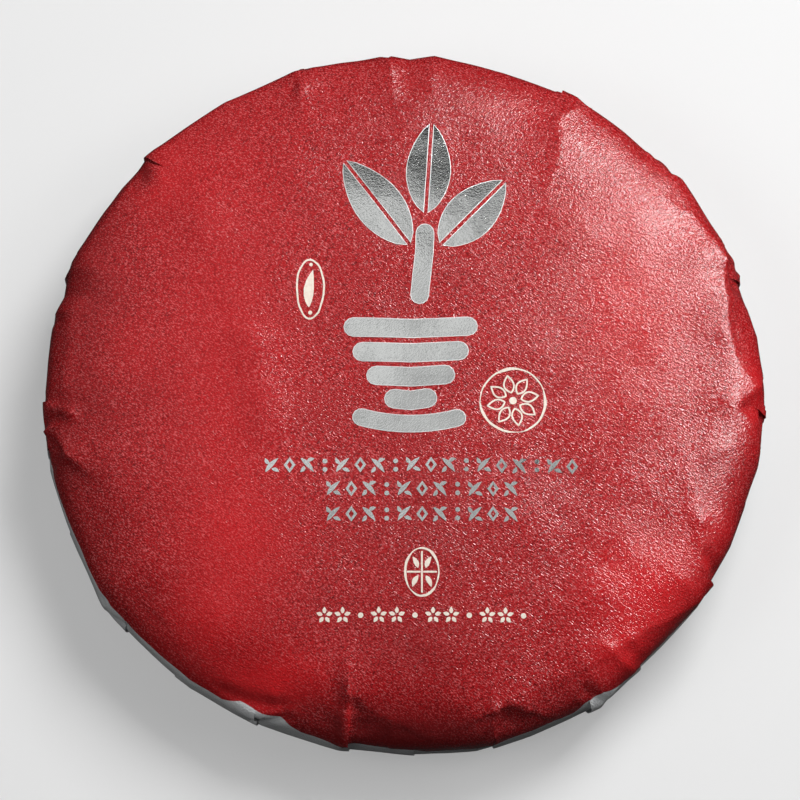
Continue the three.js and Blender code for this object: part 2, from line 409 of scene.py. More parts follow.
def base_folds(meridian: Meridian, rim: list[Fold], seed: int) -> list[Fold]:
    """The pleats that start under the rim, one in each gap between those of the rim.

    Args:
        meridian: The cake's section.
        rim: The pleats of the rim.
        seed: Seed of their uneven places and steps.

    Returns:
        One pleat for each pleat of the rim.
    """
    gap_share, below_waist, base_step, left_share = (0.4, 0.6), (7.0, 16.0), (0.25, 0.45), 0.75
    draw = np.random.default_rng(seed)
    made = []
    for index, fold in enumerate(rim):
        after = rim[(index + 1) % len(rim)]
        gap = (after.angle - fold.angle) % FULL_TURN
        angle = (fold.angle + gap * draw.uniform(*gap_share)) % FULL_TURN
        start = meridian.waist + draw.uniform(*below_waist)
        step = draw.uniform(*base_step)
        upper = Upper.LEFT if draw.uniform() < left_share else Upper.RIGHT
        made.append(Fold(angle, start, 0.0, step, upper))
    return made


# Corners of the taut outline: place, and millimetres proud of the round rim.
OUTLINE = (
    (10, 0.65), (25, 0.15), (39, -0.2), (51, -0.4), (61, 0.1), (73, -0.4), (84.6, 0.05),
    (88.6, -0.85), (93.4, -0.15), (104, -0.5), (107.5, -0.3), (120, -0.4), (134, -0.1),
    (142, -0.15), (153, -0.2), (158.3, 0.4), (163, -0.55), (166, 0), (179, -0.3), (191, 0),
    (200, -0.4), (215, 0.55), (234, -0.15), (247, -0.25), (260, -0.3), (272, -0.25), (282, 0.5),
    (291, 0.5), (303, 0.9), (312, 0.15), (325, 0.15), (336, 0.1), (349, 0.5), (358, 0.65),
)

SWELLINGS = [Swelling(*row) for row in (
    (22.5, -3.5, 0.6, 1.4, 3.0),
    (20.6, -1.6, 0.55, 0.7, 1.1),
    (45, -4.6, 0.28, 0.9, 0.9),
    (43, -2.8, 0.25, 0.9, 0.9),
    (246, -3, 0.6, 4.2, 2.6),
    (250, -7.5, -0.65, 32, 4.5),
    (285, -7.5, -0.45, 16, 4),
    (303, -0.8, 0.75, 2.6, 2.6),
    (311, -5, 0.35, 1.6, 3),
    (205, -7.5, -0.3, 14, 4),
    (74, -18.5, -0.2, 7, 7),
)]

SOFT, SHARP = Line.SOFT, Line.SHARP
FADING, LENS = Ends.FADING, Ends.LENS

RIM_CREASES = [Crease(*row) for row in (
    (((62, -6.6), (60.4, -9.4)), -0.4, (0.9, 0.5), SHARP),
    (((60.4, -9.4), (58, -5.6)), 0.4, (0.4, 1.4), SHARP),
    (((60, -4.2), (57.6, -5.2)), 0.25, (0.8, 0.8)),
    (((53, -7.2), (46, -8.2), (42, -6.8), (39, -3.6)), 0.6, (3.4, 6.0)),
    (((40.5, -4.2), (39.5, -2.0)), -0.4, (0.8, 0.8)),
    (((38, -4.4), (30, -5.8), (26, -6.2)), 0.5, (3.2, 5.0)),
    (((26, -6.2), (22, -6.6)), 0.6, (2.4, 5.0), SHARP),
    (((37, -8.9), (33, -6.8)), -0.3, (0.7, 1.4), SHARP, LENS),
    (((21.2, -6.8), (20.4, -8.8), (20, -10.6)), -0.3, (0.35, 0.5), SHARP, FADING),
    (((36, -8.6), (32, -7.0), (23, -6.2)), 0.3, (0.8, 1.6), SHARP),
    (((22, -6.6), (19.5, -7.8), (16, -8.2)), 0.6, (1.6, 4.0), SHARP),
    (((22.6, -4.4), (21.6, -2.6)), -0.4, (0.5, 0.6), SHARP),
    (((18, -5.4), (16.5, -3.0)), -0.3, (0.8, 1.0)),
    (((16, -8.2), (10, -9.6), (3, -7.8), (1, -5.3)), 0.8, (2.4, 5.5), SHARP),
    (((1.2, -5.0), (357, -8.6), (354.6, -5.8)), 0.5, (0.9, 3.0), SHARP),
    (((357.4, -6.4), (357.8, -4.0)), -0.5, (2.0, 2.0)),
    (((356.4, -2.6), (355, -1.6)), -0.7, (0.9, 0.8)),
    (((344, -14.6), (347.6, -10.6), (353, -8.0)), 0.28, (4.0, 0.8), SHARP, LENS),
    (((333.4, -11.2), (337, -8.0)), 0.32, (4.2, 0.7), SHARP, LENS),
    (((333.5, -9.0), (329.4, -6.2), (328, -2.0)), 0.34, (1.6, 0.8), SHARP),
    (((331, -6.0), (330, -2.4)), -0.4, (1.2, 1.2)),
    (((325, -2.4), (320, -4.8), (315, -6.9), (310, -7.6), (308.4, -8.4)), 0.45, (1.8, 4.0), SHARP),
    (((308.2, -8.2), (308.6, -5.6), (309.6, -2.0)), 0.3, (0.5, 1.8), SHARP),
    (((310.8, -6.4), (311.4, -3.4)), -0.35, (1.2, 1.2)),
    (((304, 1.6), (303, -1.8), (301, -5.0)), -0.45, (0.9, 1.2)),
    (((299, -8.6), (294, -9.0), (291, -8.0)), 0.4, (2.4, 4.5), SHARP),
    (((291, -6.2), (288.4, -8.4), (286, -7.9)), 0.6, (0.5, 3.0), SHARP),
    (((284.4, -1.0), (285, -5.3), (286, -7.8)), 0.5, (0.8, 0.5), SHARP),
    (((287.6, -5.6), (289.6, -4.4)), -0.45, (1.6, 1.6)),
    (((285, -8.0), (275, -8.2), (268, -8.0)), 0.4, (3.0, 5.0)),
    (((268, -8.0), (264.2, -9.6), (261.8, -11.2)), 0.5, (2.2, 5.0), SHARP),
    (((268.3, -2.4), (268.3, -8.4)), 0.22, (0.5, 1.6), SHARP),
    (((261.2, -2.4), (261.2, -7.4), (260.8, -11.4)), 0.85, (2.4, 0.5), SHARP),
    (((262.6, -9.6), (263.2, -6.0)), -0.3, (0.9, 1.4)),
    (((260, -10.0), (258.6, -12.4), (255.4, -18.0)), -0.6, (1.6, 1.4), SOFT, FADING),
    (((258, -9.4), (250, -8.2), (240, -8.0), (228, -8.6)), 0.35, (3.0, 5.0)),
    (((240, -4.4), (245, -5.1), (249.4, -6.6)), -0.45, (1.4, 1.0)),
    (((245.6, 1.0), (248, -2.4), (251, -4.8)), -0.4, (0.9, 1.1)),
    (((249, -6.4), (248, -8.0)), 0.25, (0.8, 0.8), SHARP),
    (((220, -1.2), (218, 0.6), (216, 2.2)), -0.35, (0.9, 0.9)),
    (((215.4, -3.6), (214.8, -1.6)), -0.35, (0.9, 0.9)),
    (((156, -5.0), (158, -9.6), (162, -9.0), (164, -7.6), (170, -8.0), (178, -7.8)), 0.42, (4.0, 2.4), SHARP),
    (((184.3, -9.4), (183, -6.9), (181.6, -4.4)), 0.45, (1.6, 0.5), SHARP),
    (((184.3, -9.4), (186, -6.7), (186.4, -4.0)), 0.55, (0.3, 0.7), SHARP),
    (((186.4, -4.4), (187.6, -6.4), (190, -7.2), (191.4, -7.8)), 0.55, (2.0, 0.5), SHARP),
    (((191.4, -7.8), (194, -9.4), (198, -11.2)), 0.45, (3.0, 0.7), SHARP, FADING),
    (((188.4, -3.6), (189.6, -5.2), (191.6, -7.2)), 0.3, (0.3, 0.6), SHARP),
    (((184.4, -7.0), (184.2, -3.4)), -0.5, (1.2, 1.0)),
    (((190.6, -5.4), (191.6, -3.0)), -0.4, (1.2, 1.5)),
    (((100, -5.2), (106, -4.6), (120, -4.4), (135, -4.8), (152, -5.8)), 0.35, (4.0, 2.0), SHARP),
    (((167.4, -5.2), (167, -1.6)), -0.25, (0.9, 0.9)),
    (((158.4, -3.2), (158, -1.4)), -0.3, (0.8, 0.8)),
    (((136.4, -3.6), (137.4, -7.4), (139.6, -16.0)), 0.5, (2.8, 1.4), SHARP, FADING),
    (((106, -4.4), (106.6, -6.4), (109.4, -8.2)), -0.35, (0.9, 0.9)),
    (((107.4, -6.4), (108.2, -10.0), (110, -17.4)), 0.9, (2.4, 1.3), SHARP, FADING),
    (((91.8, -6.0), (91.6, -9.0), (91.4, -17.0)), 1.0, (2.4, 1.2), SHARP, FADING),
)]

CROWN_CREASES = [Crease(*row) for row in (
    (
        ((61, -8.6), (58, -13.6), (56, -16.7), (54, -21.0), (54, -24.2), (53, -30)),
        0.6, (7.0, 2.1), SHARP, FADING,
    ),
    (((325.5, -12.4), (323.6, -19.0), (321.6, -28.6)), 0.36, (3.2, 3.6), SOFT, LENS),
    (((315.5, -11.6), (310, -20.4)), 0.3, (3.0, 3.0), SOFT, LENS),
    (((26, -39.6), (341.7, -35.4), (324.9, -26.7), (319.2, -13.7)), -0.6, (6.0, 5.5), SOFT, LENS),
    (((156, -29.2), (163.5, -35.0), (195.5, -37.3), (210.5, -38.6)), 0.52, (3.0, 2.4), SOFT, LENS),
    (((169.5, -27.8), (171.4, -28.7)), -0.12, (0.5, 0.5)),
    (((190, -26.4), (191.6, -26.6)), -0.12, (0.5, 0.5)),
    (((306.5, -18.8), (307, -18.2)), -0.12, (0.5, 0.5)),
    (((280, -12.2), (280.6, -10.8)), -0.15, (0.6, 0.6)),
    (((115, -14.0), (118, -28.0)), 0.22, (3.0, 4.0), SOFT, LENS),
    (((135, -12.0), (146, -26.0)), 0.58, (4.0, 3.5), SOFT, LENS),
    (((200, -14.0), (212, -27.0)), 0.2, (3.5, 4.5), SOFT, LENS),
    (((38, -16.0), (48, -30.0)), 0.22, (3.0, 4.5), SOFT, LENS),
)]

# Points of the red print's border: place, and distance below the waist.
BORDER = (
    (0, 2.5), (60, 2.0), (100, 2.5), (158, 2.0), (164, 0.2), (166, 0.2), (170, 2.0), (180, 1.0),
    (182, -1.8), (190, -2.0), (200, -2.3), (214, -2.8), (225, -2.7), (240, -2.7), (243, -4.2),
    (250, -4.2), (254, -1.8), (262, -1.8), (272, -1.5), (274, 0.2), (284.4, 0.0), (284.9, -1.5),
    (298, -1.5), (300, -3.2), (303.5, -3.6), (305.5, -2.4), (307, -1.3), (309, -0.6), (312, -0.6),
    (313, 0.2), (316, -0.1), (321, 0.5), (326, 1.5), (334, 2.5),
)

# Painted light and painted shade on the red print: brighter patches where the panels light the crown, darker
# ones on the shaded front rim and beside folds and creases.
PAINTED_LIGHT_SPOTS = [PaintedLightSpot(*row) for row in (
    (-26, 2, 9, 36, 0.3), (-36, 32, 5, 7, 0.3), (-23, -24, 8, 9, 0.3), (-30, -36, 8, 6, 0.35),
    (-20, -44, 9, 4, 0.8), (4, -24, 13, 14, -0.22), (2, -40, 10, 6, -0.3), (3, 45, 18, 14, -0.22),
    (2, 10, 8, 26, -0.15), (33, 10, 9, 16, 0.35), (36, -30, 9, 8, 0.72), (32, -40, 5, 4, 0.6),
    (46, -21, 4, 5, 0.3), (52, -1, 3, 8, 0.5), (0, -51, 12, 4, -0.85), (-47, 18, 6, 14, -0.45),
    (-47, -3, 6, 5, -0.3), (-50, -14, 4, 8, -0.3), (-38.0, 33.2, 1.2, 2.4, -1.0),
    (-41, 5, 5, 6, 0.2), (-8.1, -49.5, 0.5, 3.2, 1.0), (-9.6, -47, 1.2, 5, -0.6),
)]


@dataclass
class PaperRelief:
    """Heights of the wrapped paper over the round form, along its normal."""

    meridian: Meridian
    folds: list[Fold]
    edge_width: float = 0.24
    lip_decay: float = 2.5
    foot_decay: float = 5.0
    foot_share: float = 0.65
    rise_length: float = 4.0
    under_start: float = 2.0
    under_end: float = 8.0
    knot_fade: float = 6.0
    overlap: float = 0.35
    full_overlap_step: float = 0.5
    tautness: float = 0.7
    keenness: float = 0.15
    fading_start: float = 0.2
    lens_middle: Pair = (0.45, 0.55)
    rim_crease_radius: float = 42.0
    rim_facet_radius: float = 50.0
    rim_fade: float = 6.0
    waist_fade: float = 4.0
    base_twist: float = 24.0
    knot_twist: float = 70.0
    knot_ridges: int = 9
    knot_ridge_height: float = 0.5
    knot_ridge_end: float = 3.0
    leaf_swell: float = 0.22
    leaf_bumps: tuple[Pair, ...] = ((9.0, 0.14), (5.0, 0.07), (2.4, 0.025))
    seed: int = 7

    def fold_step(self, fold: Fold, reach: Array) -> Array:
        """Height of a fold's step, as it comes up and grows under the base.

        Args:
            fold: The fold.
            reach: Distances along the paper.

        Returns:
            Heights in millimetres.
        """
        waist, end = self.meridian.waist, self.meridian.end
        under = smoothstep(reach, waist + self.under_start, waist + self.under_end)
        step = fold.rim_step + (fold.base_step - fold.rim_step) * under
        rise = smoothstep(reach, fold.start, fold.start + self.rise_length)
        return step * rise * (1.0 - smoothstep(reach, end - 2 * self.knot_fade, end - self.knot_fade))

    def _fold_height(self, fold: Fold, angle: Array, reach: Array, radius: Array) -> Array:
        """Height that one fold's two layers add beside its edge.

        Args:
            fold: The fold.
            angle: Degrees round the cake.
            reach: Distances along the paper, of the same shape.
            radius: Radii on the cake, of the same shape.

        Returns:
            Heights in millimetres.
        """
        away = np.radians(turn_between(angle, fold.angle) * fold.upper.value) * radius
        lip = (1.0 - self.foot_share) * np.exp(-np.maximum(away, 0.0) / self.lip_decay)
        foot = -self.foot_share * np.exp(np.minimum(away, 0.0) / self.foot_decay)
        return self.fold_step(fold, reach) * np.where(away > 0, lip, foot)

    def _outline_height(self, angle: Array) -> Array:
        """Height of the taut outline over the round rim.

        Args:
            angle: Degrees round the cake.

        Returns:
            Heights in millimetres.
        """
        places, proud = np.array(OUTLINE, float).T
        after = np.searchsorted(places, np.mod(angle, FULL_TURN), side="right") % len(OUTLINE)
        before = (after - 1) % len(OUTLINE)
        span = np.mod(places[after] - places[before], FULL_TURN)
        done = np.mod(angle - places[before], FULL_TURN)
        chord = np.cos(np.radians(span / 2)) / np.cos(np.radians(done - span / 2))
        mean = proud[before] + (proud[after] - proud[before]) * done / span
        return mean - self.meridian.radius * (1.0 - chord) * self.tautness

    def _swelling_height(self, swelling: Swelling, angle: Array, reach: Array) -> Array:
        """Height of a lens-shaped swell of the paper.

        Args:
            swelling: The swell.
            angle: Degrees round the cake.
            reach: Distances along the paper, of the same shape.

        Returns:
            Heights in millimetres.
        """
        along = np.radians(turn_between(angle, swelling.angle)) * self.meridian.radius / swelling.along
        across = (reach - self.meridian.waist - swelling.below_waist) / swelling.across
        return swelling.height * np.exp(-(along**2) - across**2)

    def _crease_height(self, crease: Crease, x: Array, y: Array) -> Array:
        """Height of a crease at places on the sheet laid flat, from its nearest part.

        Args:
            crease: The crease.
            x: Places along the flat sheet's first axis, from the middle of the crown.
            y: Places along its second axis.

        Returns:
            Heights in millimetres.
        """
        turns = [math.radians(angle) for angle, _ in crease.path]
        reaches = [self.meridian.waist + below for _, below in crease.path]
        points = [np.array([r * math.cos(t), r * math.sin(t)]) for t, r in zip(turns, reaches)]
        parts = len(points) - 1
        fullest = np.zeros_like(x)
        for index, (start, end) in enumerate(zip(points, points[1:])):
            run = end - start
            size = np.hypot(*run)
            share = ((x - start[0]) * run[0] + (y - start[1]) * run[1]) / size**2
            aside = ((y - start[1]) * run[0] - (x - start[0]) * run[1]) / size
            beside = np.clip(share, 0.0, 1.0)
            away = np.hypot(aside, (share - beside) * size)
            width = np.where(aside > 0, crease.flanks[0], crease.flanks[1])
            if crease.line is Line.SOFT:
                profile = np.exp(-((away / width) ** 2))
            else:
                profile = np.exp((self.keenness - np.hypot(away, self.keenness)) / width)
            fullest = np.maximum(fullest, profile * self._fullness(crease.ends, (index + beside) / parts))
        return crease.height * fullest

    def _fullness(self, ends: Ends, done: Array) -> Array:
        """Share of a crease's height that is left along it.

        Args:
            ends: How the crease stops.
            done: Shares of its length, from 0 to 1.

        Returns:
            Shares of its height.
        """
        if ends is Ends.FADING:
            return 1.0 - smoothstep(done, self.fading_start, 1.0)
        if ends is Ends.LENS:
            risen, falling = self.lens_middle
            return smoothstep(done, 0.0, risen) * (1.0 - smoothstep(done, falling, 1.0))
        return np.ones_like(done)

    def _leaf_height(self, x: Array, y: Array) -> Array:
        """Slow swell of the pressed leaf under the paper.

        Args:
            x: Places on the cake.
            y: Places on the cake, of the same shape.

        Returns:
            Heights in millimetres.
        """
        broad = np.sin(x * 0.11 + 0.6) * np.cos(y * 0.13 - 0.4)
        narrow = np.sin(x * 0.23 - y * 0.19 + 1.7) * np.cos(y * 0.27 + x * 0.08)
        return self.leaf_swell * (0.6 * broad + 0.4 * narrow)

    def _crumple(self, x: Array, y: Array, z: Array) -> Array:
        """Fine uneven relief: leaf bumps of three sizes showing through the paper.

        Args:
            x: Places on the cake.
            y: Places on the cake, of the same shape.
            z: Places on the cake, of the same shape.

        Returns:
            Heights in millimetres.
        """
        total = np.zeros(x.size)
        offset = Vector((self.seed, -self.seed, 0.5 * self.seed))
        for size, height in self.leaf_bumps:
            spots = zip(x.ravel() / size, y.ravel() / size, z.ravel() / size)
            drawn = (noise.noise(Vector(spot) + offset) for spot in spots)
            total += height * np.fromiter(drawn, float, x.size)
        return total.reshape(x.shape)

    def sweep(self, reach: Array) -> Array:
        """Degrees that the paper has been swept round.

        Args:
            reach: Distances along the paper.

        Returns:
            Degrees, counter-clockwise.
        """
        section = self.meridian
        under = smoothstep(reach, section.waist + self.waist_fade, section.hollow)
        inside = smoothstep(reach, section.hollow, section.end)
        return self.base_twist * under + self.knot_twist * inside

    def _heights(self, angle: Array, reach: Array, x: Array, y: Array) -> Array:
        """Heights of the outline, the swellings and the creases.

        Args:
            angle: Degrees round the cake before the sweep.
            reach: Distances along the paper, of the same shape.
            x: Places on the cake, of the same shape.
            y: Places on the cake, of the same shape.

        Returns:
            Heights in millimetres.
        """
        section, waist, fade = self.meridian, self.meridian.waist, self.waist_fade
        on_crown = 1.0 - smoothstep(reach, waist - fade, waist + fade)
        from_radius, to_radius = self.rim_crease_radius, self.rim_facet_radius
        on_rim = smoothstep(reach, section.crown_reach(from_radius), section.crown_reach(to_radius))
        on_rim = on_rim * (1.0 - smoothstep(reach, waist + self.rim_fade, section.flat))
        height = on_crown * self._leaf_height(x, y) + on_rim * self._outline_height(angle)
        for swelling in SWELLINGS:
            height += self._swelling_height(swelling, angle, reach)
        sheet_x = reach * np.cos(np.radians(angle))
        sheet_y = reach * np.sin(np.radians(angle))
        for crease in RIM_CREASES + CROWN_CREASES:
            height += self._crease_height(crease, sheet_x, sheet_y)
        return height

    def points(self, angle: Array, reach: Array, cross: Array) -> Array:
        """Places on the wrapped paper.

        Args:
            angle: Degrees round the cake before the sweep, one row for each reach.
            reach: Distances along the paper, of the same shape.
            cross: Sides of the fold edges, -1 or 1 there and 0 elsewhere, of the same shape.

        Returns:
            Points in millimetres, with x, y and z last.
        """
        section = self.meridian
        radius, level, outward, upward = section.at(reach)
        shift = np.zeros_like(angle)
        height = np.zeros_like(angle)
        for fold in self.folds:
            height += self._fold_height(fold, angle, reach, radius)
            edge = (np.abs(turn_between(angle, fold.angle)) < 0.75 * self.edge_width) & (cross != 0)
            share = np.clip(self.fold_step(fold, reach) / self.full_overlap_step, 0.0, 1.0)
            lap = np.degrees(self.overlap * share / np.maximum(radius, 1.0)) + share * self.edge_width / 2
            shift -= np.where(edge, cross * lap, 0.0)
        turned = np.radians(angle + shift + self.sweep(reach))
        x = radius * np.cos(turned)
        y = radius * np.sin(turned)
        height += self._heights(angle, reach, x, y) + self._crumple(x, y, level)
        ridge_start, ridge_end = section.end - section.hollow_floor_radius, section.end - self.knot_ridge_end
        in_knot = smoothstep(reach, ridge_start, ridge_end)
        height += self.knot_ridge_height * in_knot * np.cos(np.radians(angle * self.knot_ridges))
        height = np.where(reach < 1e-6, height.ravel()[0], height)
        height = np.where(reach > section.end - 1e-6, 0.0, height)
        x += height * outward * np.cos(turned)
        y += height * outward * np.sin(turned)
        return np.stack([x, y, np.maximum(level + height * upward, 0.0)], axis=-1)


# ---- Finishes --------------------------------------------------------------------------


class NodeTable:
    """A material's nodes, added and linked by short calls."""

    def __init__(self, name: str) -> None:
        """Starts a material with a principled shader and its output.

        Args:
            name: The material's name.
        """
        self.material = bpy.data.materials.new(name)
        self.material.use_nodes = True
        self.tree = self.material.node_tree
        self.tree.nodes.clear()
        self.shader = self.add("ShaderNodeBsdfPrincipled")
        output = self.add("ShaderNodeOutputMaterial")
        self.link(self.shader.outputs["BSDF"], output.inputs["Surface"])
        self.coordinates = self.add("ShaderNodeTexCoord").outputs["Object"]

    def add(self, kind: str, **settings: object) -> bpy.types.Node:
        """Adds a node.

        Args:
            kind: Its type.
            **settings: Its properties.

        Returns:
            The node.
        """
        node = self.tree.nodes.new(kind)
        for name, value in settings.items():
            setattr(node, name, value)
        return node

    def link(self, source: Socket, target: Socket) -> None:
        """Joins two sockets."""
        self.tree.links.new(source, target)

    def noise(
        self, size: float, detail: float = 2.0, stretch: Triple = (1.0, 1.0, 1.0), turn: float = 0.0
    ) -> Socket:
        """Noise whose features have a given size.

        Args:
            size: Feature size in millimetres.
            detail: Number of finer layers.
            stretch: How many times longer the features are on each axis of the pattern.
            turn: Degrees that the pattern is turned about Z.

        Returns:
            The socket of its value.
        """
        mapping = self.add("ShaderNodeMapping", vector_type="TEXTURE")
        mapping.inputs["Scale"].default_value = stretch
        mapping.inputs["Rotation"].default_value = (0.0, 0.0, math.radians(turn))
        self.link(self.coordinates, mapping.inputs["Vector"])
        texture = self.add("ShaderNodeTexNoise")
        texture.inputs["Scale"].default_value = 1.0 / (size * MM)
        texture.inputs["Detail"].default_value = detail
        self.link(mapping.outputs["Vector"], texture.inputs["Vector"])
        return texture.outputs["Fac"]

    def ramp(self, source: Socket, low: float, high: float, start: float = 0.0, end: float = 1.0) -> Socket:
        """Maps a value from one range to another, clamped.

        Args:
            source: The value.
            low: Start of its range.
            high: End of its range.
            start: What low becomes.
            end: What high becomes.

        Returns:
            The socket of the mapped value.
        """
        node = self.add("ShaderNodeMapRange")
        for name, value in (("From Min", low), ("From Max", high), ("To Min", start), ("To Max", end)):
            node.inputs[name].default_value = value
        self.link(source, node.inputs["Value"])
        return node.outputs["Result"]

    def math(self, operation: str, first: Socket, second: Socket | float) -> Socket:
        """Joins two values by an operation.

        Args:
            operation: The operation's name.
            first: The first value.
            second: The second value, a socket or a number.

        Returns:
            The socket of the result.
        """
        node = self.add("ShaderNodeMath", operation=operation)
        self.link(first, node.inputs[0])
        if isinstance(second, (int, float)):
            node.inputs[1].default_value = second
        else:
            self.link(second, node.inputs[1])
        return node.outputs["Value"]

    def mix(self, share: Socket, first: object, second: object) -> Socket:
        """Mixes two colours.

        Args:
            share: Share of the second colour.
            first: The first colour, a socket or three numbers.
            second: The second colour, likewise.

        Returns:
            The socket of the mixed colour.
        """
        node = self.add("ShaderNodeMix", data_type="RGBA")
        self.link(share, node.inputs["Factor"])
        for value, socket in ((first, node.inputs[6]), (second, node.inputs[7])):
            if isinstance(value, Socket):
                self.link(value, socket)
            else:
                socket.default_value = (*value, 1.0)
        return node.outputs[2]

    def attribute(self, name: str) -> Socket:
        """Value of a mesh attribute."""
        return self.add("ShaderNodeAttribute", attribute_name=name).outputs["Fac"]

    def bump(self, height: Socket, depth: float, strength: float, under: Socket | None = None) -> Socket:
        """Relief from a height, over another relief if one is given.

        Args:
            height: Heights from 0 to 1.
            depth: Depth in millimetres.
            strength: Strength from 0 to 1.
            under: Normal of the relief underneath.

        Returns:
            The socket of the normal.
        """
        node = self.add("ShaderNodeBump")
        node.inputs["Strength"].default_value = strength
        node.inputs["Distance"].default_value = depth * MM
        self.link(height, node.inputs["Height"])
        if under is not None:
            self.link(under, node.inputs["Normal"])
        return node.outputs["Normal"]


@dataclass(frozen=True)
class PrintedPaper:
    """Satin wrapping paper, printed red on its face and white past the print's border.

    Fields are its colours, how much darker the red gets in its mottle and painted shade and how much brighter
    in painted light, the roughness and specular level of its gloss, the size and stretch of its specks, and
    the size, stretch and depth of its grain.
    """

    red: Triple = (0.39, 0.0075, 0.01)
    white: Triple = (0.78, 0.79, 0.8)
    mottle_and_painted_shade_darkening: float = 0.4
    painted_light_gain: float = 1.7
    roughness: float = 0.14
    specular: float = 0.4
    fleck: Triple = (0.58, 0.09, 0.095)
    speck: float = 0.15
    speck_stretch: Triple = (2.4, 1.0, 1.6)
    grain: float = 0.2
    grain_stretch: Triple = (3.0, 1.0, 2.0)
    grain_depth: float = 0.096

    def material(self) -> Finish:
        """Makes the material.

        Returns:
            The material.
        """
        table = NodeTable("printed_paper")
        shader = table.shader
        shader.inputs["Specular IOR Level"].default_value = self.specular
        fine = table.math("MULTIPLY", table.noise(self.grain, 0.0), 0.5)
        long_way = table.noise(self.grain, 0.0, self.grain_stretch, 42.0)
        cross_way = table.noise(self.grain, 0.0, self.grain_stretch, -34.0)
        fibres = table.math("ADD", fine, table.math("MAXIMUM", long_way, cross_way))
        cloud = table.noise(7.0, 2.0)
        specks = table.noise(self.speck, 0.0, self.speck_stretch, 44.0)
        crossing = table.noise(self.speck, 0.0, self.speck_stretch, -36.0)
        # The darker red is both the paper's mottle and painted shade; the brighter red is painted light.
        mottled_and_painted_shade_red = tuple(self.mottle_and_painted_shade_darkening * part for part in self.red)
        painted_lit_red = tuple(self.painted_light_gain * part for part in self.red)
        mottled = table.mix(table.ramp(specks, 0.34, 0.5), mottled_and_painted_shade_red, self.red)
        flecked = table.mix(table.ramp(crossing, 0.56, 0.7), mottled, self.fleck)
        clouded = table.mix(table.ramp(cloud, 0.35, 0.65, 0.0, 0.12), flecked, mottled_and_painted_shade_red)
        # Painted light and painted shade: the spots' attribute brightens or darkens the red.
        tone = table.attribute("painted_light_and_shade")
        red = table.mix(table.ramp(tone, 0.0, 1.0), clouded, painted_lit_red)
        red = table.mix(table.ramp(tone, 0.0, -1.0), red, mottled_and_painted_shade_red)
        printed = table.ramp(table.attribute("print_inside"), -0.06, 0.06)
        table.link(table.mix(printed, self.white, red), shader.inputs["Base Color"])
        rough = table.ramp(cloud, 0.3, 0.7, self.roughness - 0.03, self.roughness + 0.04)
        table.link(rough, shader.inputs["Roughness"])
        soft = table.bump(table.noise(1.7, 2.0), 0.04, 0.4)
        table.link(table.bump(fibres, self.grain_depth, 1.0, soft), shader.inputs["Normal"])
        return table.material


@dataclass(frozen=True)
class StampedFoil:
    """Silver foil stamped on paper, finely grained and dulled in patches.

    Fields are the material's name, the foil's colour and that of its dulled patches, its
    roughness, and the sizes of the patches and the grain in millimetres.
    """

    name: str
    silver: Triple = (0.61, 0.62, 0.61)
    shade: Triple = (0.52, 0.53, 0.52)
    roughness: float = 0.11
    patch: float = 4.0
    grain: float = 0.22

    def material(self) -> Finish:
        """Makes the material.

        Returns:
            The material.
        """
        table = NodeTable(self.name)
        shader = table.shader
        shader.inputs["Metallic"].default_value = 1.0
        tone = table.math("ADD", table.noise(self.patch, 1.0), table.noise(self.grain, 1.0))
        colour = table.mix(table.ramp(tone, 0.75, 1.0, 1.0, 0.0), self.silver, self.shade)
        table.link(colour, shader.inputs["Base Color"])
        rough = table.ramp(table.noise(0.5, 2.0), 0.3, 0.7, self.roughness - 0.02, self.roughness + 0.03)
        table.link(rough, shader.inputs["Roughness"])
        broad = table.bump(table.noise(self.patch, 1.0), 0.03, 0.6)
        long_way = table.noise(self.grain, 1.0, (2.0, 1.0, 1.0), 42.0)
        grain = table.math("MAXIMUM", long_way, table.noise(self.grain, 1.0))
        table.link(table.bump(grain, 0.028, 1.0, broad), shader.inputs["Normal"])
        return table.material


@dataclass(frozen=True)
class CreamInk:
    """Thin pale ink that lets a little of the paper's grain through."""

    cream: Triple = (0.8, 0.72, 0.62)
    wear: Triple = (0.85, 0.6, 0.6)
    roughness: float = 0.5

    def material(self) -> Finish:
        """Makes the material.

        Returns:
            The material.
        """
        table = NodeTable("cream_ink")
        shader = table.shader
        thin = table.ramp(table.noise(0.4, 2.0), 0.4, 0.75, 0.0, 0.5)
        worn = tuple(part * left for part, left in zip(self.cream, self.wear))
        table.link(table.mix(thin, self.cream, worn), shader.inputs["Base Color"])
        rough = table.ramp(table.noise(1.2), 0.3, 0.7, self.roughness - 0.06, self.roughness + 0.06)
        table.link(rough, shader.inputs["Roughness"])
        table.link(table.bump(table.noise(0.42, 2.0), 0.04, 0.6), shader.inputs["Normal"])
        return table.material


@dataclass(frozen=True)
class PaleTable:
    """The plain pale surface that the cake lies on, glowing faintly as painted light that lifts the shadows
    on it.
    """

    tone: Triple = (0.45, 0.45, 0.45)
    roughness: float = 0.8
    painted_fill_glow: float = 0.3

    def material(self) -> Finish:
        """Makes the material.

        Returns:
            The material.
        """
        table = NodeTable("pale_table")
        shader = table.shader
        cloud = table.noise(120.0, 2.0)
        darker = tuple(0.97 * part for part in self.tone)
        table.link(table.mix(cloud, self.tone, darker), shader.inputs["Base Color"])
        shader.inputs["Roughness"].default_value = self.roughness
        # Faint glow: painted light that lifts the cake's shadow on the table.
        shader.inputs["Emission Color"].default_value = (1.0, 1.0, 1.0, 1.0)
        shader.inputs["Emission Strength"].default_value = self.painted_fill_glow
        table.link(table.bump(table.noise(1.5), 0.02, 0.3), shader.inputs["Normal"])
        return table.material


# ---- The paper -------------------------------------------------------------------------


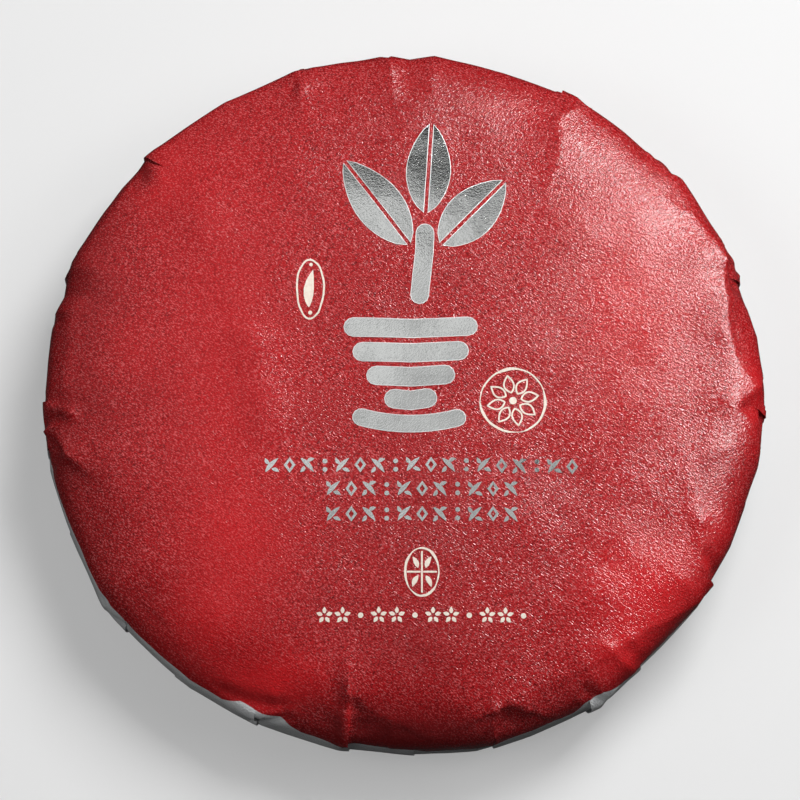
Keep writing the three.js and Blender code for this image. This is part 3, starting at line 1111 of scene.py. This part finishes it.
@dataclass
class WrappedPaper:
    """The sheet of paper, wrapped round the pressed tea and closed at its knot.

    Each band of rows has a pitch and ends at a radius on the crown or at a distance below
    the waist. The border's waves are given by their size, their count and their turn.
    """

    relief: PaperRelief
    column_pitch: float = 0.48
    crown_radius: float = 35.0
    crown_pitch: float = 1.7
    shoulder_end: float = -12.5
    shoulder_pitch: float = 0.8
    rim_end: float = 3.0
    rim_pitch: float = 0.4
    skirt_end: float = 9.0
    skirt_pitch: float = 0.8
    base_pitch: float = 1.6
    knot_pitch: float = 1.2
    crease_angle: float = 38.0
    border_waves: tuple[Triple, ...] = ((0.12, 23, 0), (0.08, 57, 40))
    obj: Piece = field(init=False, repr=False)

    def _columns(self) -> tuple[Array, Array]:
        """Angles of the columns of vertices, two at each fold's edge and even ones between.

        Returns:
            The angles, rising through a full turn, and the side of each: -1 or 1 at a
            fold's edge and 0 elsewhere.
        """
        folds = sorted(self.relief.folds, key=lambda fold: fold.angle)
        edge = self.relief.edge_width
        angles: list[float] = []
        sides: list[int] = []
        for index, fold in enumerate(folds):
            after = folds[(index + 1) % len(folds)]
            gap = (after.angle - fold.angle) % FULL_TURN - edge
            steps = max(1, round(gap / self.column_pitch))
            angles += [fold.angle + edge / 2 + gap * i / steps for i in range(steps + 1)]
            sides += [1] + [0] * (steps - 1) + [-1]
        angles.append(angles[0] + FULL_TURN)
        sides.append(sides[0])
        return np.array(angles), np.array(sides)

    def _rows(self) -> Array:
        """Reaches of the rows of vertices.

        Returns:
            The reaches, rising from the crown's middle to the knot's tip.
        """
        section = self.relief.meridian
        bands = (
            (section.crown_reach(self.crown_radius), self.crown_pitch),
            (section.waist + self.shoulder_end, self.shoulder_pitch),
            (section.waist + self.rim_end, self.rim_pitch),
            (section.waist + self.skirt_end, self.skirt_pitch),
            (section.hollow, self.base_pitch),
            (section.end, self.knot_pitch),
        )
        reaches = [0.0]
        for end, pitch in bands:
            count = math.ceil((end - reaches[-1]) / pitch)
            reaches += list(np.linspace(reaches[-1], end, count + 1)[1:])
        return np.array(reaches)

    def _border(self, angle: Array) -> Array:
        """Reach of the red print's border.

        Args:
            angle: Degrees round the cake.

        Returns:
            The reach at each angle.
        """
        places, below = np.array(BORDER, float).T
        waves = self.border_waves
        wander = sum(size * np.sin(np.radians(angle * count + turn)) for size, count, turn in waves)
        return self.relief.meridian.waist + periodic(angle, places, below) + wander

    def build(self) -> None:
        """Wraps a flat grid of paper round the cake and closes its seam and its ends."""
        angles, sides = self._columns()
        reaches = self._rows()
        columns, rows = len(angles) - 1, len(reaches) - 1
        clear_selection()
        bpy.ops.mesh.primitive_grid_add(x_subdivisions=columns, y_subdivisions=rows, size=1.0)
        self.obj = bpy.context.object
        flat = get_points(self.obj)
        column = np.rint((flat[:, 0] + 0.5) * columns).astype(int)
        row = np.rint((flat[:, 1] + 0.5) * rows).astype(int)
        angle_grid, reach_grid = np.meshgrid(angles, reaches)
        side_grid = np.broadcast_to(sides, angle_grid.shape)
        placed = self.relief.points(angle_grid, reach_grid, side_grid)
        placed[:, -1] = placed[:, 0]
        low, high = placed.min(axis=(0, 1)), placed.max(axis=(0, 1))
        cad_low, cad_high = (np.array(corner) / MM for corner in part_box(CAKE_NODE))
        placed[..., :2] += ((cad_low + cad_high) / 2 - (low + high) / 2)[:2]
        set_points(self.obj, placed[row, column] * MM)
        inside = (self._border(angle_grid) - reach_grid)[row, column]
        x, y = placed[row, column, 0], placed[row, column, 1]
        # Painted light and painted shade from the spots, kept on the paper as an attribute.
        tone = np.zeros_like(x)
        for spot in PAINTED_LIGHT_SPOTS:
            across, upright = (x - spot.x) / spot.half_x, (y - spot.y) / spot.half_y
            tone += spot.strength * np.exp(-(across**2) - upright**2)
        for name, values in (("print_inside", inside), ("painted_light_and_shade", tone)):
            attribute = self.obj.data.attributes.new(name, "FLOAT", "POINT")
            attribute.data.foreach_set("value", values.astype(np.float32))
        choose(self.obj)
        edit_all()
        bpy.ops.mesh.remove_doubles(threshold=MERGE_DISTANCE)
        bpy.ops.mesh.normals_make_consistent(inside=False)
        bpy.ops.object.mode_set(mode="OBJECT")
        bpy.ops.object.shade_smooth_by_angle(angle=math.radians(self.crease_angle))

    def dress(self) -> None:
        """Prints the paper and lets it stand for the cake's body."""
        self.obj.data.materials.clear()
        self.obj.data.materials.append(PrintedPaper().material())
        finish_piece(self.obj, "paper_wrap")
        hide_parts(CAKE_NODE)


# ---- Ornaments on the crown ------------------------------------------------------------


@dataclass
class Stencil:
    """Flat outlines that are cut into small faces, laid on the paper and given thickness.

    Fields are the paper, the finish, the finish of a thin edge line or None for no such
    line, the layer's height over the paper, its thickness, the height at which it is cut,
    the size of its faces and the first one's share of it, the width of the edge line, and
    the outlines so far.
    """

    paper: Piece
    filling: Finish
    edging: Finish | None = None
    lift: float = 0.03
    thickness: float = 0.04
    above: float = 30.0
    cell: float = 1.3
    first_cell: float = 0.61
    edge_width: float = 0.1
    pieces: list[Piece] = field(default_factory=list)

    def fill(self, outline: Array) -> None:
        """Adds a filled outline, and its edge line if there is one.

        Args:
            outline: Its corners in order, as x and y in millimetres.
        """
        middle = outline
        if self.edging:
            middle = inset(outline, self.edge_width)
            self.band(middle, outline, self.edging)
        clear_selection()
        bpy.ops.mesh.primitive_circle_add(vertices=len(middle), radius=1.0, fill_type="NGON")
        self._keep(bpy.context.object, self.filling, [middle])

    def band(self, inner: Array, outer: Array, finish: Finish | None = None) -> None:
        """Adds a closed band between two outlines with equal numbers of corners.

        Args:
            inner: Corners of the inner outline, as x and y in millimetres.
            outer: Corners of the outer one.
            finish: Its finish, if not the stencil's own.
        """
        clear_selection()
        bpy.ops.mesh.primitive_circle_add(vertices=len(inner), radius=1.0, fill_type="NOTHING")
        edit_all()
        bpy.ops.mesh.extrude_edges_move()
        bpy.ops.object.mode_set(mode="OBJECT")
        self._keep(bpy.context.object, finish or self.filling, [inner, outer])

    def _keep(self, obj: Piece, finish: Finish, rings: list[Array]) -> None:
        """Moves a new shape's corners to their outlines above the crown, and keeps it.

        Args:
            obj: The shape.
            finish: Its finish.
            rings: Corners of its outlines, in the order of its vertices.
        """
        flat = np.vstack(rings)
        set_points(obj, np.column_stack([flat, np.full(len(flat), self.above)]) * MM)
        obj.data.materials.append(finish)
        self.pieces.append(obj)

    def _cut(self, obj: Piece) -> None:
        """Cuts the joined outlines into cells by upright planes.

        Args:
            obj: The joined outlines, open for editing.
        """
        low = get_points(obj).min(axis=0) / MM
        high = get_points(obj).max(axis=0) / MM
        for axis in (0, 1):
            normal = [0.0, 0.0, 0.0]
            normal[axis] = 1.0
            for place in np.arange(low[axis] + self.cell * self.first_cell, high[axis], self.cell):
                bpy.ops.mesh.select_all(action="SELECT")
                bpy.ops.mesh.bisect(plane_co=[part * place * MM for part in normal], plane_no=normal)

    def press(self, name: str) -> None:
        """Lays the outlines on the paper as one thin piece.

        Args:
            name: The piece's name.
        """
        clear_selection()
        for piece in self.pieces:
            piece.select_set(True)
        obj = self.pieces[0]
        bpy.context.view_layer.objects.active = obj
        bpy.ops.object.join()
        edit_all()
        bpy.ops.mesh.normals_make_consistent(inside=False)
        self._cut(obj)
        bpy.ops.object.mode_set(mode="OBJECT")
        facing = np.array([face.normal.z for face in obj.data.polygons])
        if facing.min() < 0:
            self._turn_up(obj, facing < 0)
        laid = obj.modifiers.new("laid", "SHRINKWRAP")
        laid.target = self.paper
        laid.wrap_method = "PROJECT"
        laid.use_project_z = True
        laid.use_negative_direction = True
        laid.use_positive_direction = False
        laid.offset = self.lift * MM
        thick = obj.modifiers.new("thick", "SOLIDIFY")
        thick.thickness = self.thickness * MM
        thick.offset = 0.0
        choose(obj)
        bpy.ops.object.modifier_apply(modifier="laid")
        bpy.ops.object.modifier_apply(modifier="thick")
        finish_piece(obj, name)

    @staticmethod
    def _turn_up(obj: Piece, chosen: Array) -> None:
        """Flips faces.

        Args:
            obj: The mesh object.
            chosen: Whether each face is to be flipped.
        """
        obj.data.polygons.foreach_set("select", chosen)
        choose(obj)
        bpy.ops.object.mode_set(mode="EDIT", toggle=False)
        bpy.ops.mesh.flip_normals()
        bpy.ops.object.mode_set(mode="OBJECT")


def inset(outline: Array, distance: float) -> Array:
    """Moves an outline's corners inward.

    Args:
        outline: Its corners counter-clockwise, as x and y.
        distance: How far each side moves in.

    Returns:
        The moved corners.
    """
    sides = np.roll(outline, -1, axis=0) - outline
    inward = np.column_stack([-sides[:, 1], sides[:, 0]]) / np.hypot(*sides.T)[:, None]
    both = inward + np.roll(inward, 1, axis=0)
    return outline + distance * 2.0 * both / np.maximum((both**2).sum(axis=1), 1.0)[:, None]


def leaf(base: Pair, tip: Pair, width: float, bend: float = 0.0, corners: int = 28) -> Array:
    """Outline of a leaf.

    Args:
        base: Where its stalk would be, as x and y.
        tip: Its point.
        width: Its greatest width.
        bend: How far its middle lies to the left of the line from base to tip.
        corners: Number of corners.

    Returns:
        The outline's corners, counter-clockwise.
    """
    start, run = np.array(base, float), np.subtract(tip, base)
    aside = np.array([-run[1], run[0]]) / np.hypot(*run)
    half = corners // 2
    share = (1.0 - np.cos(np.linspace(0.0, math.pi, half + 1))) / 2
    middle = start + share[:, None] * run + (4 * bend * share * (1 - share))[:, None] * aside
    reach = (width / 2 * np.sin(math.pi * share**0.85) ** 0.9)[:, None] * aside
    return np.vstack([(middle - reach)[:-1], (middle + reach)[:0:-1]])


def half_leaf(base: Pair, tip: Pair, width: float, vein: float) -> Array:
    """Outline of one half of a leaf with blunt ends, beside its open middle vein.

    Args:
        base: The foot of the vein, as x and y.
        tip: The head of the vein.
        width: Greatest width of the half, to the left of the vein, or below 0 for the right.
        vein: Width of the open vein.

    Returns:
        The outline's corners, counter-clockwise.
    """
    corners = 16
    start, run = np.array(base, float), np.subtract(tip, base)
    aside = np.array([-run[1], run[0]]) / np.hypot(*run) * math.copysign(1.0, width)
    share = np.linspace(0.0, 1.0, corners)
    line = start + share[:, None] * run
    bulge = abs(width) * np.sin(math.pi * share**0.9) ** 0.75
    inner = line + aside * vein / 2
    outer = line + aside * vein / 2 + bulge[:, None] * aside
    ring = np.vstack([outer[1:-1][::-1], inner])
    return ring if width > 0 else ring[::-1]


def stroke(path: list[Pair], width: float, cap: int = 6) -> Array:
    """Outline of a pen stroke with round ends.

    Args:
        path: Its middle line, as x and y.
        width: Its width.
        cap: Number of steps round each end.

    Returns:
        The outline's corners, counter-clockwise.
    """
    line = np.array(path, float)
    along = np.gradient(line, axis=0)
    along /= np.hypot(*along.T)[:, None]
    aside = np.column_stack([-along[:, 1], along[:, 0]]) * width / 2
    angles = np.linspace(0.0, math.pi, cap + 1)[1:-1]

    def end(centre: Array, forward: Array, side: Array) -> Array:
        """Corners of one round end, from its side across its tip."""
        return centre + np.outer(np.cos(angles), side) + np.outer(np.sin(angles), forward * width / 2)

    return np.vstack([
        line - aside,
        end(line[-1], along[-1], -aside[-1]),
        (line + aside)[::-1],
        end(line[0], -along[0], aside[0]),
    ])


def oval(
    centre: Pair, across: float, upright: float, corners: int, wobble: float = 0.0, seed: int = 0
) -> Array:
    """Outline of an oval, a little uneven if asked.

    Args:
        centre: Its middle.
        across: Half of its width.
        upright: Half of its height.
        corners: Number of corners.
        wobble: Greatest unevenness of its reach, in millimetres.
        seed: Seed of the unevenness.

    Returns:
        The outline's corners, counter-clockwise.
    """
    draw = np.random.default_rng(seed)
    turn = np.linspace(0.0, 2 * math.pi, corners, endpoint=False)
    phases = draw.uniform(0.0, 2 * math.pi, 3)
    waves = (np.sin(turn * (3 + 4 * i) + phase) / (i + 1) for i, phase in enumerate(phases))
    uneven = wobble * sum(waves) / 1.8
    return np.column_stack([
        centre[0] + (across + uneven) * np.cos(turn),
        centre[1] + (upright + uneven) * np.sin(turn),
    ])


def on_circle(centre: Pair, radius: float, turn: float) -> Pair:
    """Point of a circle at an angle in radians."""
    return centre[0] + radius * math.cos(turn), centre[1] + radius * math.sin(turn)


def arc(centre: Pair, radius: float, start: float, end: float, steps: int = 14) -> list[Pair]:
    """Points along an arc, from one angle in degrees to another."""
    return [on_circle(centre, radius, turn) for turn in np.radians(np.linspace(start, end, steps))]


@dataclass
class FoilSprig:
    """A stamped sprig of tea: a bud and two leaves with open veins, on a stalk."""

    foot: Pair = (2.2, 13.0)
    fork: Pair = (3.0, 22.6)
    bud_tip: Pair = (4.0, 39.6)
    left_tip: Pair = (-8.7, 33.6)
    right_tip: Pair = (14.6, 30.6)
    bud_half_width: float = 3.0
    leaf_half_width: float = 3.3
    vein: float = 0.55
    stalk_width: float = 2.7

    def build(self, stencil: Stencil) -> None:
        """Cuts the halves of the bud and the leaves, and the stalk.

        Args:
            stencil: The stencil they are cut from.
        """
        x, y = self.fork
        leaves = (
            ((x + 0.1, y + 3.0), self.bud_tip, self.bud_half_width),
            ((x - 2.3, y - 1.8), self.left_tip, self.leaf_half_width),
            ((x + 2.3, y - 1.8), self.right_tip, self.leaf_half_width),
        )
        for base, tip, half_width in leaves:
            for width in (half_width, -half_width):
                stencil.fill(half_leaf(base, tip, width, self.vein))
        stencil.fill(stroke([self.foot, (2.5, 16.0), (2.9, 19.5), self.fork], self.stalk_width))


@dataclass
class FoilBowl:
    """A stamped tea bowl on its saucer, in thick bands."""

    middle: float = 0.9
    band: float = 2.9
    bands: tuple[Pair, ...] = ((8.2, 8.3), (4.5, 7.0), (0.9, 5.0), (-2.6, 2.4))
    saucer_level: float = -6.3
    saucer_radius: float = 26.0

    def build(self, stencil: Stencil) -> None:
        """Cuts the bowl's bands, each by its level and half its length, and the saucer.

        Args:
            stencil: The stencil they are cut from.
        """
        x = self.middle
        for level, half in self.bands:
            stencil.fill(stroke([(x - half, level), (x, level - 0.25), (x + half, level + 0.1)], self.band))
        centre = (x, self.saucer_level + self.saucer_radius)
        stencil.fill(stroke(arc(centre, self.saucer_radius, 254, 285), self.band - 0.3))


@dataclass
class LeafRows:
    """Three bands of small stamped leaves, lozenges and dots.

    Each band is given by its left and right ends and its level, and each leaflet of a
    sprig by its foot and tip from the sprig's middle, its width, bend and corners.
    """

    rows: tuple[Triple, ...] = ((-20.4, 25.5, -12.4), (-11.5, 16.6, -15.9), (-11.5, 16.6, -19.6))
    leaflets: tuple[tuple[Pair, Pair, float, float, int], ...] = (
        ((-0.95, -1.0), (0.95, 1.1), 0.72, 0.15, 12),
        ((-0.05, -0.5), (1.05, -0.95), 0.6, 0.1, 10),
        ((-0.4, 0.2), (-1.0, 1.1), 0.6, 0.1, 10),
    )
    dot: float = 0.36
    dot_lift: float = 0.62
    pitch: float = 2.55
    seed: int = 11

    def build(self, stencil: Stencil) -> None:
        """Cuts each band's ornaments in turn.

        Args:
            stencil: The stencil they are cut from.
        """
        draw = np.random.default_rng(self.seed)
        for left, right, level in self.rows:
            count = round((right - left) / self.pitch)
            for index in range(count):
                x = left + (index + 0.5) * (right - left) / count
                self._ornament(stencil, x, level + draw.uniform(-0.06, 0.06), index)

    def _ornament(self, stencil: Stencil, x: float, y: float, index: int) -> None:
        """Cuts a sprig of three leaflets, a lozenge or two dots.

        Args:
            stencil: The stencil it is cut from.
            x: Its middle.
            y: Its level.
            index: Its place in the band, which says what it is.
        """
        kind = index % 4
        if kind in (0, 2):
            side = 1.0 if kind == 0 else -1.0
            for foot, tip, width, bend, corners in self.leaflets:
                ends = [(x + across, y + side * up) for across, up in (foot, tip)]
                stencil.fill(leaf(*ends, width, bend, corners))
        elif kind == 1:
            stencil.band(oval((x, y), 0.38, 0.6, 4), oval((x, y), 0.85, 1.15, 4))
        else:
            for lift in (self.dot_lift, -self.dot_lift):
                stencil.fill(oval((x, y + lift), self.dot, self.dot, 10))


@dataclass
class InkSeals:
    """The inked ornaments beside and under the foil: a frame, a round and an oval seal."""

    line: float = 0.27
    frame_centre: Pair = (-13.7, 14.0)
    frame_half: Pair = (2.1, 4.6)
    round_centre: Pair = (15.7, -2.8)
    round_radius: float = 4.85
    petals: int = 8
    petal_start: float = 1.1
    petal_end: float = 3.9
    petal_width: float = 1.7
    petal_line: float = 0.24
    oval_centre: Pair = (2.5, -28.1)
    oval_half: Pair = (2.55, 3.6)
    cross_line: float = 0.26

    def _ring(
        self, stencil: Stencil, centre: Pair, half: Pair, corners: int, *uneven: tuple[float, int]
    ) -> None:
        """Draws an oval line.

        Args:
            stencil: The stencil it is cut from.
            centre: Its middle.
            half: Half of its width and of its height.
            corners: Its corners.
            *uneven: Wobble and seed of its inner side, then of its outer side.
        """
        inner, outer = uneven
        within = oval(centre, half[0] - self.line, half[1] - self.line, corners, *inner)
        stencil.band(within, oval(centre, *half, corners, *outer))

    def build_frame(self, stencil: Stencil) -> None:
        """Draws an upright lens-shaped frame with a leaf and two dots in it.

        Args:
            stencil: The stencil it is cut from.
        """
        self._ring(stencil, self.frame_centre, self.frame_half, 40, (0.1, 3), (0.1, 3))
        stencil.fill(leaf((-13.9, 11.2), (-13.3, 16.9), 1.5, 0.3, 16))
        stencil.fill(oval((-13.7, 10.4), 0.3, 0.3, 10))
        stencil.fill(oval((-13.6, 17.7), 0.26, 0.26, 10))

    def build_round(self, stencil: Stencil) -> None:
        """Draws a round seal with a rosette of petals in it.

        Args:
            stencil: The stencil it is cut from.
        """
        centre, radius = self.round_centre, self.round_radius
        self._ring(stencil, centre, (radius, radius), 72, (0.16, 5), (0.1, 6))
        for index in range(self.petals):
            turn = math.radians(index * FULL_TURN / self.petals + 12)
            near, far = (on_circle(centre, reach, turn) for reach in (self.petal_start, self.petal_end))
            shape = leaf(near, far, self.petal_width, 0.1, 20)
            stencil.band(inset(shape, self.petal_line), shape)
        stencil.fill(oval(centre, 0.55, 0.55, 14))

    def build_oval(self, stencil: Stencil) -> None:
        """Draws an oval seal quartered by a cross, with a leaf in each quarter.

        Args:
            stencil: The stencil it is cut from.
        """
        x, y = self.oval_centre
        self._ring(stencil, self.oval_centre, self.oval_half, 48, (0.1, 8), (0.08, 9))
        stencil.fill(stroke([(x, -31.0), (x, -25.2)], self.cross_line))
        for side in (-1.0, 1.0):
            stencil.fill(stroke([(x + side * 0.3, y), (x + side * 2.05, y)], self.cross_line))
            for level in (-1.0, 1.0):
                base = (x + side * 0.55, y + level * 0.55)
                tip = (x + side * 1.35, y + level * 2.2)
                stencil.fill(leaf(base, tip, 0.75, 0.12 * side, 12))


@dataclass
class BlossomRow:
    """A row of small inked blossoms and dots near the cake's front."""

    left: float = -12.8
    right: float = 18.4
    level: float = -34.35
    count: int = 12
    petal_start: float = 0.28
    petal_end: float = 1.22
    petal_width: float = 0.62
    dot: float = 0.4

    def build(self, stencil: Stencil) -> None:
        """Draws the row, two five-petalled blossoms and a dot in turn.

        Args:
            stencil: The stencil it is cut from.
        """
        for index in range(self.count):
            middle = (self.left + (index + 0.5) * (self.right - self.left) / self.count, self.level)
            if index % 3 == 2:
                stencil.fill(oval(middle, self.dot, self.dot, 10))
                continue
            for petal in range(5):
                turn = math.radians(90 + petal * 72)
                near, far = (on_circle(middle, reach, turn) for reach in (self.petal_start, self.petal_end))
                stencil.fill(leaf(near, far, self.petal_width, 0.0, 8))


# ---- Studio ----------------------------------------------------------------------------


class Acts(Enum):
    """Which part of a finish a light panel shows: its tone or its gloss."""

    TONE = "tone"
    GLOSS = "gloss"


@dataclass(frozen=True)
class SoftLight:
    """A soft square light panel that faces the cake.

    Fields are its name, its bearing and elevation in degrees, its strength in watts, what
    it acts on, and its distance and side in metres.
    """

    name: str
    bearing: float
    elevation: float
    power: float
    acts: Acts = Acts.TONE
    distance: float = 0.6
    side: float = 0.3

    def add(self) -> None:
        """Adds the panel."""
        turn, rise = math.radians(self.bearing), math.radians(self.elevation)
        outward = Vector((math.cos(turn) * math.cos(rise), math.sin(turn) * math.cos(rise), math.sin(rise)))
        turned = (-outward).to_track_quat("-Z", "Y").to_euler()
        clear_selection()
        bpy.ops.object.light_add(type="AREA", location=outward * self.distance, rotation=turned)
        light = bpy.context.object
        light.name = self.name
        light.data.shape = "SQUARE"
        light.data.size = self.side
        light.data.energy = self.power
        light.visible_camera = False
        light.visible_glossy = self.acts is Acts.GLOSS
        light.visible_diffuse = self.acts is Acts.TONE


@dataclass
class Studio:
    """The pale table, the soft lights and the camera.

    The wall panels are a faint ring of lights for gloss from all sides. Their strengths
    are given in turn from +X on.
    """

    elevation: float = 75.5
    distance: float = 900.0
    millimetres_per_pixel: float = 0.14648
    pixels: int = 800
    sensor: float = 36.0
    aim: Triple = (0.0, 0.0, 9.0)
    aim_right: float = -0.65
    aim_up: float = 0.07
    table_size: float = 4.0
    ambient: float = 0.03
    lights: tuple[SoftLight, ...] = (
        SoftLight("back_tone_panel", 55, 47, 4.1),
        SoftLight("right_tone_panel", 5, 45, 0.8),
        SoftLight("left_tone_panel", 195, 48, 0.8),
        SoftLight("upper_left_gloss_panel", 140, 58, 0.3, Acts.GLOSS, side=0.5),
        SoftLight("right_gloss_panel", 15, 40, 3.3, Acts.GLOSS, side=0.2),
        SoftLight("back_gloss_panel", 50, 43, 3.4, Acts.GLOSS, side=0.2),
        SoftLight("low_gloss_panel", 45, 34, 0.7, Acts.GLOSS, side=0.2),
        SoftLight("overhead_gloss_panel", 90, 76, 0.7, Acts.GLOSS, 1.2, 0.62),
        SoftLight("front_gloss_panel", 270, 78, 0.25, Acts.GLOSS, 1.2, 0.5),
    )
    wall_elevation: float = 20.0
    wall_distance: float = 1.2
    wall_side: float = 1.0
    wall_powers: tuple[float, ...] = (0.9, 1.2, 1.2, 0.7, 0.4, 0.25, 0.25, 0.35)

    def build_table(self) -> None:
        """Lays the table's top, whose edges are far outside the view."""
        clear_selection()
        bpy.ops.mesh.primitive_grid_add(x_subdivisions=8, y_subdivisions=8, size=self.table_size)
        table = bpy.context.object
        table.name = "table_top"
        table.data.materials.append(PaleTable().material())
        table.visible_diffuse = False
        table.visible_glossy = False

    def build_lights(self) -> None:
        """Hangs the light panels and sets the faint light of the room."""
        for light in self.lights:
            light.add()
        step = FULL_TURN / len(self.wall_powers)
        for index, power in enumerate(self.wall_powers):
            place = (index * step, self.wall_elevation, power, Acts.GLOSS, self.wall_distance, self.wall_side)
            SoftLight(f"wall_panel_{index}", *place).add()
        world = bpy.data.worlds.new("room")
        world.use_nodes = True
        background = world.node_tree.nodes["Background"]
        background.inputs["Color"].default_value = (1.0, 1.0, 1.0, 1.0)
        background.inputs["Strength"].default_value = self.ambient
        bpy.context.scene.world = world
        bpy.context.scene.view_settings.view_transform = "Standard"
        bpy.context.scene.view_settings.look = "None"

    def build_camera(self) -> None:
        """Sets the camera above the cake, at the angle from which it is seen."""
        tilt = math.radians(self.elevation)
        back = Vector((0.0, -math.cos(tilt), math.sin(tilt)))
        up = Vector((0.0, math.sin(tilt), math.cos(tilt)))
        target = Vector(self.aim) + Vector((self.aim_right, 0.0, 0.0)) + up * self.aim_up
        place = target + back * self.distance
        clear_selection()
        bpy.ops.object.camera_add(location=place * MM, rotation=(math.pi / 2 - tilt, 0.0, 0.0))
        camera = bpy.context.object
        camera.name = "camera"
        camera.data.sensor_width = self.sensor
        camera.data.lens = self.distance * self.sensor / (self.millimetres_per_pixel * self.pixels)
        camera.data.clip_start = 0.01
        bpy.context.scene.camera = camera


# ---- Putting it together ---------------------------------------------------------------


def print_ornaments(paper: Piece) -> None:
    """Stamps the foil and prints the ink on the crown.

    Args:
        paper: The wrapped paper that they lie on.
    """
    foil = StampedFoil("stamped_foil").material()
    # The foil's thin edge line is a lighter silver: a painted glint along the foil's edges.
    edge = StampedFoil("foil_edge_painted_glint", silver=(0.9, 0.9, 0.9), shade=(0.8, 0.8, 0.8), roughness=0.3).material()
    ink = CreamInk().material()
    seals = InkSeals()
    jobs = (
        ("foil_sprig", FoilSprig().build, foil, edge),
        ("foil_bowl", FoilBowl().build, foil, edge),
        ("foil_leaf_rows", LeafRows().build, foil, None),
        ("ink_frame", seals.build_frame, ink, None),
        ("ink_round_seal", seals.build_round, ink, None),
        ("ink_oval_seal", seals.build_oval, ink, None),
        ("ink_blossom_row", BlossomRow().build, ink, None),
    )
    for name, cut, filling, edging in jobs:
        stencil = Stencil(paper, filling, edging)
        cut(stencil)
        stencil.press(name)


def main() -> None:
    """Builds the studio, the paper and its ornaments."""
    logging.basicConfig(level=logging.INFO, format="%(message)s")
    studio = Studio()
    studio.build_camera()
    studio.build_table()
    studio.build_lights()
    meridian = Meridian()
    folds = rim_folds(meridian)
    folds += base_folds(meridian, folds, seed=5)
    paper = WrappedPaper(PaperRelief(meridian, folds))
    paper.build()
    paper.dress()
    print_ornaments(paper.obj)


if __name__ == "__main__":
    main()
